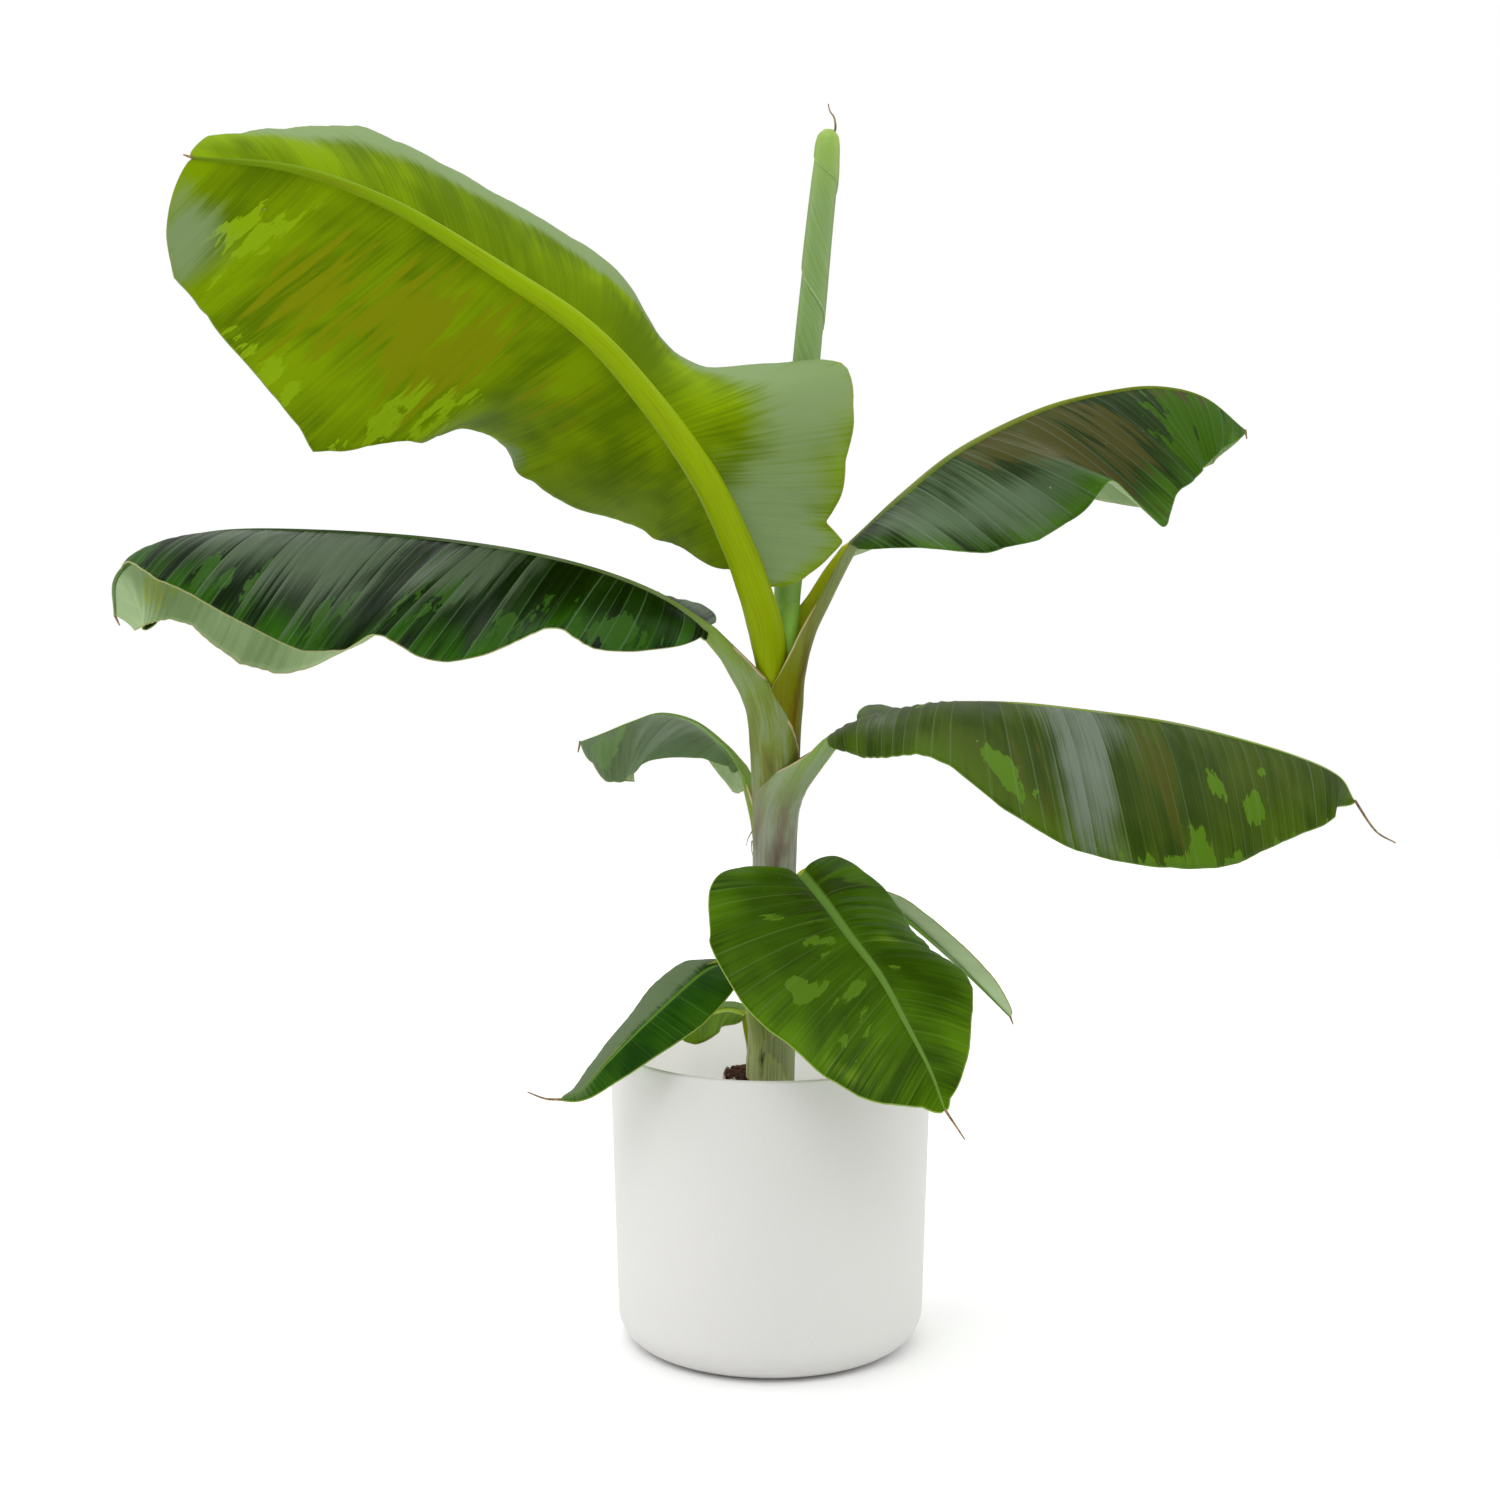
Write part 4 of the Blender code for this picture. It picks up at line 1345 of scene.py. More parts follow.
UPPER_RIGHT_TOP = BladeFinish(
    "#1A2C06", "#30481C", "#345800", "#44441A", "#54684A", rib="#86A02C", margin="#5E8234", vein="#76887A",
    vein_strength=0.4, lit="#44700E", lit_share=0.9, pleated=0.20, specular=0.08, rib_share=1.7,
)
FRONT_TOP = BladeFinish(
    "#2A4400", "#406200", "#4E7014", "#2A3E00", "#6E8E22", rib="#628436", margin="#8EA850", vein="#6A8A4A",
    vein_strength=0.3, lit="#567E08", lit_share=0.7, satin=0.06, scuffs=0.03, specular=0.04, rib_share=0.8,
)
LOW_TOP = BladeFinish(
    "#123600", "#1E4A00", "#2E5C00", "#1C2E10", "#5C6E4C", rib="#557E20", margin="#7E9640", lit="#3A6200",
    specular=0.05, rib_share=0.5,
)
BACK_TOP = BladeFinish(
    "#5A6C46", "#70806A", "#66824E", "#3A4A2E", "#80907A", margin="#6E8A38", pleated=0.15, rib="#7C9C58",
    rib_share=1.6,
)
SMALL_TOP = BladeFinish(
    "#48660A", "#5A7C10", "#6A8C1C", "#3A4A1E", "#6A7E56", margin="#8EA040", lit="#6E8E10"
)


# The leaves, from the highest down; their third-tint patches lay grey wax with painted sheen, and those of
# negative strength paint shade

LEAVES: tuple[Leaf, ...] = (
    Leaf(
        name="upper_left", upper=UPPER_LEFT_TOP, under=UPPER_LEFT_UNDER, stalk_finish=UPPER_LEFT_STALK,
        rows=230, columns=44, seed=3, ripple=1.6, pleat=0.3,
        sheath=(
            (5.5, 1, 440, 11, 172), (3, 1, 480, 11.4, 160), (2, 0, 505, 11.6, 140), (1.2, -2, 530, 12, 125),
            (-1.8, -10, 552, 13.4, 116), (-6.2, -21, 573, 13.5, 110), (-11, -30, 590, 12.8, 105),
        ),
        rib=(
            (-11, -30, 590), (-25, -45, 630), (-51, -72, 686), (-93, -104, 747), (-135, -133, 794),
            (-192, -166, 835), (-260, -201, 878), (-324, -226, 902), (-390, -238, 909),
        ),
        thread=((-396, -240, 911),),
        face=((-0.11, 0.91, 0.39), (-0.15, 0.92, 0.36), (-0.24, 0.93, 0.31)),
        left=Half(
            width=130, inner=(-5, -5, -40, -55, -55, -62, -62), outer=(5, -10, -95, -118, -115, -110, -95),
            lean=(-0.6, -0.6, -0.4, 0.3, 0.5, 0.5, 0.6), begin=0.02, widest=0.36, base_power=1.3,
            tip_power=1.9,
            folds=(
                Fold(0.26, 0.05, hinge=15, droop=40, wider=0.03), Fold(0.36, 0.05, hinge=-15, droop=-20),
            ),
            trim=(
                (0, 0), (0.05, -6), (0.1, 0), (0.125, -16), (0.16, -11), (0.2, -10), (0.25, 0),
                (0.272, 14, 6), (0.3, 6, -14), (0.33, 0, -16), (0.37, 3, -6), (0.41, 9), (0.45, -2),
                (0.5, 10), (0.55, 11), (0.6, 8), (0.64, 4), (0.7, 8), (0.77, 5), (0.82, 0), (0.85, 3),
                (0.9, 0), (0.95, 7), (1, 0),
            ),
        ),
        right=Half(
            width=178, inner=(-42, -45, -25, -10, 0, 0, 0), outer=(-65, -62, -35, -5, 0, 0, 0),
            lean=(-0.4, -0.4, -0.1, 0.05, 0.3, 0.5, 0.9), begin=0.05, widest=0.58, base_power=1.6,
            tip_power=1.8,
            folds=(
                Fold(0.39, 0.06, droop=-28), Fold(0.5, 0.04, wider=-0.07),
                Fold(0.6, 0.05, forward=-0.1, wider=0.04),
            ),
            trim=(
                (0, 0), (0.1, 0), (0.15, 10, -10), (0.2, 24, -10), (0.25, 20, -12), (0.3, 6, -7),
                (0.35, 12, -18), (0.37, 13, -20), (0.4, 2, -15), (0.42, -6, -6), (0.45, -14), (0.5, -10, 6),
                (0.55, -8, 5), (0.59, -2, 1), (0.602, 5), (0.62, -4), (0.65, -9), (0.7, -9), (0.8, -8),
                (0.85, 0), (0.9, 8), (0.95, 6), (1, 0),
            ),
        ),
        under_patches={
            Tint.BLOOM: (
                (0.12, -0.45, 0.15, 0.6, 1.1), (0.29, -0.8, 0.06, 0.35, 0.8), (0.4, -0.85, 0.07, 0.35, 1.1),
                (0.5, -0.85, 0.1, 0.45, 1.3), (0.66, -0.85, 0.12, 0.45, 1.25), (0.82, -0.9, 0.1, 0.35, 0.9),
                (0.92, 0.8, 0.06, 0.45, 1.1), (0.35, 1, 0.03, 0.15, 1), (0.4, -0.22, 0.12, 0.25, -0.9),
                (0.62, -0.22, 0.13, 0.24, -0.6),
            ),
            Tint.BROWN: (
                (0.63, 0.35, 0.12, 0.35, 0.65), (0.74, 0.6, 0.08, 0.3, 0.65), (0.54, 0.5, 0.07, 0.35, 0.6),
                (0.36, 0.5, 0.1, 0.4, 0.4),
            ),
            Tint.PALE: (
                (0.86, 0.5, 0.05, 0.4, 0.7), (0.56, 0.75, 0.03, 0.35, 0.8), (0.49, 0.8, 0.04, 0.3, 0.7),
                (0.7, 0.95, 0.08, 0.15, 0.6),
            ),
        },
    ),
    Leaf(
        name="left", upper=DARK_TOP, under=SAGE_UNDER, stalk_finish=LEFT_STALK, rows=220, columns=34,
        seed=7, ripple=1.4, pleat=1.1,
        sheath=(
            (1.5, 0, 300, 15.6, 172), (1.8, 0, 420, 15.8, 170), (2, 0, 445, 16.8, 168),
            (2.6, -1, 460, 18.2, 152), (2.6, -2, 474, 19.2, 132), (0, -2, 497, 18.6, 106),
            (-8.4, -2, 516, 16.2, 108), (-20, -7, 531, 12.2, 116), (-31, -13, 546, 9.4, 112),
            (-47, -20, 565, 8.4, 105),
        ),
        rib=(
            (-47, -20, 565), (-84, -28, 592), (-128, -36, 612), (-187, -46, 628), (-260, -56, 639),
            (-333, -66, 644), (-405, -74, 643), (-454, -80, 631), (-481, -84, 611), (-484, -80, 582),
        ),
        thread=((-481, -78, 574),),
        face=((0, 0.1, 1), (-0.1, 0.1, 1), (-0.5, 0.6, 0.2)),
        left=Half(
            width=115, inner=(10, 25, 30, 30, 25, 10), outer=(80, 95, 95, 95, 90, 70),
            lean=(-0.2, 0.3, 0.6, 0.6, 0.8, 0.8), widest=0.4, end=0.93, base_power=1.8, tip_power=1.3,
            folds=(Fold(0.2, 0.06, droop=-50), Fold(0.385, 0.045, droop=-40)),
            trim=(
                (0, 0), (0.015, -17), (0.03, -16), (0.06, -11), (0.1, -5), (0.14, 0), (0.25, 0), (0.3, 5),
                (0.35, 0), (0.4, 4), (0.45, 0), (0.5, 6), (0.6, 6), (0.7, 9), (0.75, 14), (0.8, 10),
                (0.87, 1), (0.93, -4),
            ),
        ),
        right=Half(
            width=115, inner=(-25, 10, 10, 20, 30, 30), outer=(-30, 50, 60, 100, 100, 90),
            lean=(-0.4, 0.2, 0.3, 0.4, 0.5, 0.5), end=0.97, tip_power=1.4,
            folds=(Fold(0.58, 0.1, hinge=15, droop=15, wider=0.2),),
            trim=(
                (0.4, 0), (0.45, 12), (0.5, 0), (0.55, -4), (0.6, 0), (0.65, 9), (0.7, 8), (0.75, 3),
                (0.8, 6), (0.87, 18, -3), (0.93, 28, -4), (0.97, 34, -2), (1, 16),
            ),
        ),
        patches={
            Tint.PALE: (
                (0.13, -0.8, 0.05, 0.25, 0.8), (0.25, -0.85, 0.05, 0.25, 0.75),
                (0.36, -0.6, 0.04, 0.35, 0.7), (0.5, -0.75, 0.05, 0.3, 0.7), (0.68, -0.75, 0.07, 0.3, 0.6),
                (0.86, -0.7, 0.06, 0.4, 0.6),
            ),
            Tint.BLOOM: (
                (0.6, -0.35, 0.24, 0.55, 1), (0.34, -0.2, 0.1, 0.4, 0.5), (0.03, 0.6, 0.05, 0.6, 0.9),
            ),
        },
        under_patches={
            Tint.BLOOM: ((0.7, 0.8, 0.2, 0.4, 0.4),),
            Tint.PALE: ((0.85, 0.6, 0.08, 0.4, 0.7),),
        },
    ),
    Leaf(
        name="upper_right", upper=UPPER_RIGHT_TOP, under=SAGE_UNDER, stalk_finish=UPPER_RIGHT_STALK,
        seed=11,
        sheath=(
            (6, 0, 420, 15, 174), (7, 0, 480, 16, 172), (8.5, -1, 505, 16.4, 168),
            (9.8, -3, 520, 15.8, 148), (12.8, -4, 533, 14.6, 138, 6), (17.5, -3, 548, 13, 130, 14),
            (25, 1, 566, 11.4, 120, 17), (35, 5, 585, 10.8, 108, 18), (46, 11, 605, 10, 104, 16),
            (58, 18, 624, 8.5, 100, 8),
        ),
        rib=(
            (58, 18, 624), (99, 30, 664), (145, 40, 699), (207, 50, 728), (261, 56, 741), (300, 59, 744),
            (336, 60, 735), (367, 58, 710),
        ),
        thread=((368, 56, 703),),
        face=((-0.5, 0.2, 1), (-0.3, 0.2, 1), (0.2, 0.1, 1)),
        left=Half(
            width=100, inner=(-5, 5, 15, 20, 20, 10), outer=(20, 50, 80, 85, 80, 60),
            lean=(-0.3, 0.3, 0.5, 0.6, 0.5, 0.6),
            folds=(Fold(0.47, 0.07, hinge=22, droop=-8),),
            trim=((0.41, 0), (0.46, 10), (0.5, 22), (0.54, 28), (0.6, 10), (0.7, 8), (0.9, 10, 4), (1, 0)),
        ),
        right=Half(
            width=116, inner=(0, 30, 40, 40, 40, 20), outer=(50, 90, 100, 95, 90, 70),
            lean=(0, 0.1, 0.5, 0.6, 0.4, 0.6), widest=0.4, tip_power=1.5,
            folds=(Fold(0.375, 0.05, droop=-46), Fold(0.48, 0.045, droop=10, wider=0.2, forward=-0.1)),
            trim=(
                (0, 0), (0.04, 6), (0.1, 8), (0.15, 3), (0.2, 0), (0.25, 6), (0.3, 0), (0.36, 0), (0.4, -4),
                (0.45, 6), (0.5, 2), (0.55, 4), (0.65, 3, 2), (0.75, 7, 3), (0.8, 9, 3), (0.9, 6, 4),
                (1, 0),
            ),
        ),
        patches={
            Tint.BLOOM: (
                (0.12, 0.4, 0.16, 0.6, 0.7), (0.3, 0.7, 0.14, 0.3, 0.6), (0.35, 0.15, 0.12, 0.3, 0.3),
                (0.64, 0.3, 0.07, 0.6, -0.9),
            ),
            Tint.BROWN: (
                (0.44, 0.35, 0.09, 0.45, 1.2), (0.36, 0.15, 0.1, 0.25, 0.8), (0.56, 0.35, 0.07, 0.5, 0.8),
                (0.8, 0.1, 0.1, 0.2, 0.7),
            ),
            Tint.PALE: ((0.85, 0.5, 0.14, 0.9, 1), (0.7, 0.85, 0.06, 0.4, 0.9)),
        },
    ),
    Leaf(
        name="right", upper=RIGHT_TOP, under=SAGE_UNDER, stalk_finish=RIGHT_STALK, rows=190, columns=34,
        seed=15, pleat=1,
        sheath=(
            (1.5, 0, 300, 17.2, 172), (2.4, 0, 375, 17.3, 140), (3.2, -1, 415, 18, 141),
            (6, -3, 433, 18.6, 139), (12.5, -6, 445, 17.2, 132), (22, -9, 455, 13.8, 122),
            (33, -12, 466, 10.6, 114), (44, -15, 480, 9.5, 105),
        ),
        rib=(
            (44, -15, 480), (75, -20, 495), (120, -30, 508), (172, -40, 513), (231, -50, 509),
            (305, -60, 499), (379, -70, 480), (420, -78, 463), (433, -83, 444),
        ),
        thread=((448, -88, 422), (463, -90, 413)),
        face=((-0.2, 0.1, 1), (0.1, 0.1, 1), (0.3, 0, 1)),
        left=Half(
            width=112, inner=(-30, 0, 10, 15, 10, 5), outer=(-45, 60, 80, 85, 80, 60),
            lean=(-0.2, 0.2, 0.3, 0.3, 0.4, 0.7), begin=0.06,
        ),
        right=Half(
            width=134, inner=(-20, -10, 15, 25, 30, 20), outer=(40, 50, 85, 90, 90, 70),
            lean=(0, 0, 0.32, 0.38, 0.45, 0.5), widest=0.52, tip_power=1.5,
            folds=(Fold(0.2, 0.08, droop=-10),),
            trim=(
                (0, 0), (0.04, 12), (0.1, 15), (0.15, 12), (0.2, 7), (0.25, 1), (0.3, 13), (0.35, 10),
                (0.45, 9), (0.5, 5), (0.55, 0), (0.65, 1), (0.7, -1), (0.75, -6), (0.8, -7), (0.85, -5),
                (0.9, 0), (0.95, 2), (1, 0),
            ),
        ),
        patches={
            Tint.BLOOM: (
                (0.43, 0.4, 0.06, 0.75, 0.9), (0.14, 0.5, 0.06, 0.5, 0.5), (0.5, 0.15, 0.05, 0.3, 0.6),
                (0.7, 0.3, 0.15, 0.5, 0.15),
            ),
            Tint.BROWN: ((0.35, 0.6, 0.025, 0.6, 0.6), (0.57, 0.5, 0.035, 0.7, 0.8)),
            Tint.PALE: (
                (0.31, 0.72, 0.035, 0.14, 1), (0.62, 0.88, 0.03, 0.14, 1), (0.68, 0.5, 0.018, 0.12, 0.9),
                (0.75, 0.68, 0.03, 0.14, 1.1), (0.78, 0.35, 0.012, 0.08, 1), (0.6, 1, 0.3, 0.1, 0.7),
                (0.2, 0.3, 0.02, 0.15, 0.7),
            ),
        },
    ),
    Leaf(
        name="front_low", upper=FRONT_TOP, under=SAGE_UNDER, stalk_finish=LOW_STALK, rows=150, columns=34,
        seed=19, ripple=1, pleat=0.7,
        sheath=(
            (0.5, 0, 240, 18, 170), (1.5, -1, 285, 17.8, 150), (3, -6, 315, 15, 140),
            (9, -24, 352, 9.2, 120), (16, -40, 375, 7.8, 110), (22, -52, 384, 7.2, 100),
        ),
        rib=(
            (22, -52, 384), (40, -82, 368), (58, -112, 348), (79, -142, 325), (96, -170, 298),
            (113, -196, 268), (123, -208, 242),
        ),
        thread=((130, -212, 232), (137, -216, 222)),
        face=((0.1, -0.5, 0.8), (0.1, -0.65, 0.7), (0.15, -0.75, 0.5)),
        left=Half(
            width=77, inner=(-15, 0, 0, 0, 0, 0), outer=(10, 40, 40, 30, 30, 20),
            lean=(-0.5, 0, 0.3, 0.5, 0.6, 0.8), widest=0.38, base_power=1.7, tip_power=1.3,
            folds=(Fold(0.25, 0.07, droop=15), Fold(0.45, 0.05, wider=0.08)),
            trim=(
                (0, 0), (0.1, 0), (0.15, 4), (0.2, 9), (0.25, 6), (0.3, -1), (0.35, -12), (0.4, -9),
                (0.45, -5), (0.5, 0), (0.6, -4), (0.8, -5), (0.95, -5), (1, 0),
            ),
        ),
        right=Half(
            width=99, inner=(-15, -5, 0, 0, 0, 0), outer=(15, 15, 20, 25, 20, 10),
            lean=(-0.8, -0.1, 0.3, 0.6, 0.8, 0.9), widest=0.32, tip_power=1.2,
            trim=(
                (0, 0), (0.03, -6), (0.1, -2), (0.2, 3), (0.3, 0), (0.7, 0), (0.8, -3), (0.92, -5), (1, 0),
            ),
        ),
        patches={
            Tint.PALE: (
                (0.42, 0.5, 0.05, 0.16, 0.75), (0.3, 0.25, 0.05, 0.18, 0.6), (0.5, 0.25, 0.06, 0.14, 0.6),
                (0.6, 0.4, 0.05, 0.14, 0.55), (0.36, 0.62, 0.04, 0.1, 0.6), (0.55, 0.65, 0.05, 0.1, 0.6),
                (0.2, 0.45, 0.04, 0.12, 0.6), (0.45, -0.3, 0.05, 0.15, 0.6),
            ),
            Tint.BLOOM: (
                (0.62, 0.88, 0.12, 0.12, 0.4), (0.35, -0.4, 0.05, 0.4, 0.6), (0.75, 0.6, 0.22, 0.5, 0.45),
                (0.85, -0.6, 0.12, 0.4, 0.35), (0.15, 0.6, 0.15, 0.6, -0.6),
            ),
            Tint.BROWN: ((0.1, -0.3, 0.1, 0.4, 0.9), (0.2, 0.15, 0.15, 0.2, 0.6)),
        },
    ),
    Leaf(
        name="left_low", upper=LOW_TOP, under=SAGE_UNDER, stalk_finish=FOOT_STALK_PAINTED_LIGHT, rows=110, columns=20,
        seed=23,
        sheath=(
            (0, 0, 176, 20.2, 172), (-1, -1, 225, 18.2, 155), (-4, -5, 252, 14, 145),
            (-17, -26, 292, 6.8, 120), (-29, -40, 309, 5.6, 110), (-37, -50, 314, 5, 100),
        ),
        rib=(
            (-37, -50, 314), (-50, -66, 312), (-68, -82, 300), (-97, -100, 276), (-123, -112, 251),
            (-141, -118, 232), (-156, -120, 225),
        ),
        thread=((-168, -121, 226), (-181, -121, 231)),
        face=((-0.3, -0.45, 0.8), (-0.3, -0.4, 0.8), (-0.2, -0.4, 0.8)),
        left=Half(
            width=40, inner=(0, 0, 5, 5, 5), outer=(10, 15, 15, 15, 10), lean=(-0.4, 0, 0, 0.1, 0.3),
            widest=0.36, tip_power=1.2,
        ),
        right=Half(
            width=36, inner=(0, 0, 10, 15, 10), outer=(10, 25, 35, 35, 30), lean=(-0.5, 0.1, 0.2, 0.4, 0.6),
            widest=0.36,
        ),
        patches={
            Tint.BLOOM: (
                (0.25, 0.55, 0.28, 0.55, 1.4), (0.75, 0.5, 0.3, 0.55, 1.3), (0.95, -0.5, 0.15, 0.6, 0.5),
            ),
        },
    ),
    Leaf(
        name="back_left", upper=BACK_TOP, under=SAGE_UNDER, stalk_finish=BACK_STALK, rows=110, columns=22,
        seed=27,
        sheath=(
            (1.5, 1, 300, 15, 170), (1, 2, 350, 15, 155), (-1, 6, 385, 12.5, 138),
            (-7.5, 18, 411, 8.4, 122), (-15.8, 33, 436, 6.4, 110), (-22, 41, 449, 5.8, 100),
        ),
        rib=(
            (-22, 41, 449), (-36, 50, 465), (-60, 62, 482), (-87, 72, 487), (-110, 80, 479),
            (-134, 86, 468), (-151, 90, 461),
        ),
        thread=((-153, 92, 452),),
        face=((0.2, -0.1, 1), (-0.1, -0.1, 1), (-0.3, -0.1, 1)),
        left=Half(
            width=62, inner=(0, 0, 10, 20, 20), outer=(50, 65, 85, 90, 90), lean=(-0.3, 0.2, 0.3, 0.3, 0.2),
            widest=0.65, tip_power=3.5,
            trim=(
                (0, 0), (0.05, -16), (0.15, -18), (0.2, -10), (0.25, -1), (0.3, 5), (0.38, 9, -1), (0.5, 4),
                (0.6, -3), (0.7, -11), (0.8, -14), (0.85, -12), (0.93, -15), (1, 0),
            ),
        ),
        right=Half(
            width=56, inner=(20, 20, 30, 30, 20), outer=(110, 100, 90, 80, 60),
            lean=(-0.85, 0.2, 0.3, 0.4, 0.4),
            trim=(
                (0, 0), (0.05, -3), (0.1, 1), (0.15, -4), (0.2, -13), (0.3, -10), (0.4, -10), (0.6, -16),
                (0.8, -14), (1, 0),
            ),
        ),
        patches={
            Tint.PALE: ((0.85, -0.3, 0.15, 0.8, 0.65),),
            Tint.BLOOM: ((0.45, -0.3, 0.2, 0.5, 0.5),),
        },
    ),
    Leaf(
        name="right_low", upper=LOW_TOP, under=SAGE_UNDER, stalk_finish=LOW_STALK, rows=110, columns=20,
        seed=31,
        sheath=(
            (0, 0, 205, 18.6, 170), (2, 1, 260, 18.4, 150), (6, 5, 300, 14, 140), (26, 24, 334, 7, 120),
            (44, 38, 349, 5.8, 110), (56, 46, 353, 5.2, 100),
        ),
        rib=((56, 46, 353), (82, 56, 344), (108, 65, 326), (144, 78, 291), (172, 88, 261), (194, 96, 236)),
        thread=((197, 97, 228),),
        face=((0.2, 0, 1), (0.5, -0.1, 0.8), (0.6, -0.1, 0.7)),
        left=Half(width=40, inner=(0, -4, -6, -6, -5), outer=(15, 0, -4, -6, -6)),
        right=Half(width=30, inner=(-15, -25, -30, -32, -30), outer=(-20, -30, -36, -38, -35)),
    ),
    Leaf(
        name="small_low", upper=SMALL_TOP, under=SAGE_UNDER, stalk_finish=LOW_STALK, rows=60, columns=12,
        seed=35,
        sheath=(
            (-0.5, 0, 176, 20, 170), (-3, 2, 200, 16.5, 150), (-8, 8, 216, 9, 135),
            (-15, 22, 232, 4.2, 115), (-20, 36, 252, 3.2, 100),
        ),
        rib=((-20, 36, 252), (-34, 42, 254), (-54, 47, 247), (-72, 50, 234)),
        thread=((-76, 51, 230),),
        face=((0, -0.4, 0.9), (-0.1, -0.5, 0.85), (-0.2, -0.5, 0.8)),
        left=Half(width=22, inner=(0, 5, 10, 10), outer=(20, 35, 40, 30)),
        right=Half(width=18, inner=(0, 5, 10, 10), outer=(20, 30, 30, 20)),
    ),
)


# Sub-assemblies


@dataclass
class Crown:
    """All the leaves: a blade and a channelled stalk each, and the dry threads at their tips.

    Attributes:
        leaves: The leaves.
        thread_radii: The first and last radius of a thread.
    """

    leaves: tuple[Leaf, ...] = LEAVES
    thread_radii: tuple[float, float] = (0.0011, 0.0005)

    def build(self) -> None:
        """Build every leaf's blade and stalk, and the threads."""
        threads = []
        for leaf in self.leaves:
            slot = "young_leaf_green" if leaf.name == "upper_left" else "leaf_green"
            piece(Blade(leaf).mesh("blade_" + leaf.name), slot, nodes=("leaf_" + leaf.name,))
            Stalk(leaf).build()
            points = filled((leaf.rib[-1], *leaf.thread), (MM, MM, MM))
            threads.append(Tube.strand("thread_" + leaf.name, points, self.thread_radii, (24, 8), 16))
        piece(joined("dry_threads", threads), "leaf_green", DRY_FIBRE.dress("dead_leaf_fibre"))


@dataclass
class Pseudostem:
    """The innermost wraps of the stem, which show where the outer sheaths part, and a few dry fibres.

    Attributes:
        axis: Points along its middle.
        radii: Its radius at each, nine tenths of the CAD stem's, which leaves room for the sheaths.
        fibres: The lines of the dry fibres on it.
        fibre_radii: The first and last radius of a fibre.
    """

    axis: tuple = (
        (0.0, 0.0, 0.1723), (-0.0005, 0.0, 0.212), (0.0015, 0.0, 0.300), (0.0035, 0.0, 0.375),
        (0.0060, 0.0, 0.440), (0.0068, 0.0, 0.518),
    )
    radii: tuple = (0.01845, 0.01602, 0.01566, 0.01584, 0.0135, 0.0072)
    fibres: tuple = (
        ((-0.0140, -0.012, 0.408), (-0.0175, -0.014, 0.402), (-0.0190, -0.015, 0.396)),
        ((-0.0145, -0.012, 0.400), (-0.0150, -0.014, 0.394), (-0.0140, -0.015, 0.389)),
    )
    fibre_radii: tuple[float, float] = (0.0006, 0.00025)

    def build(self) -> None:
        """Build the stem's core, and its fibres."""
        core = Tube.through(self.axis, self.radii, 80, self.relief).mesh("stem_core", 160, 64)
        piece(core, "stem_green", STEM_SKIN.dress("inner_sheath_skin"), nodes=("stem",))
        strands = [Tube.strand("strand", points, self.fibre_radii, (20, 6), 14) for points in self.fibres]
        piece(joined("stem_fibres", strands), "stem_green", DRY_FIBRE.dress("dead_sheath_fibre"))

    def relief(self, s: Array, angle: Array) -> Array:
        """Give the stem the 23 shallow ribs of its fibres and the 3 broad ones of its wraps, both winding."""
        return 0.008 * np.sin(angle * 23 + 2.0 * np.sin(5 * s)) + 0.01 * np.sin(angle * 3 + 9 * s)


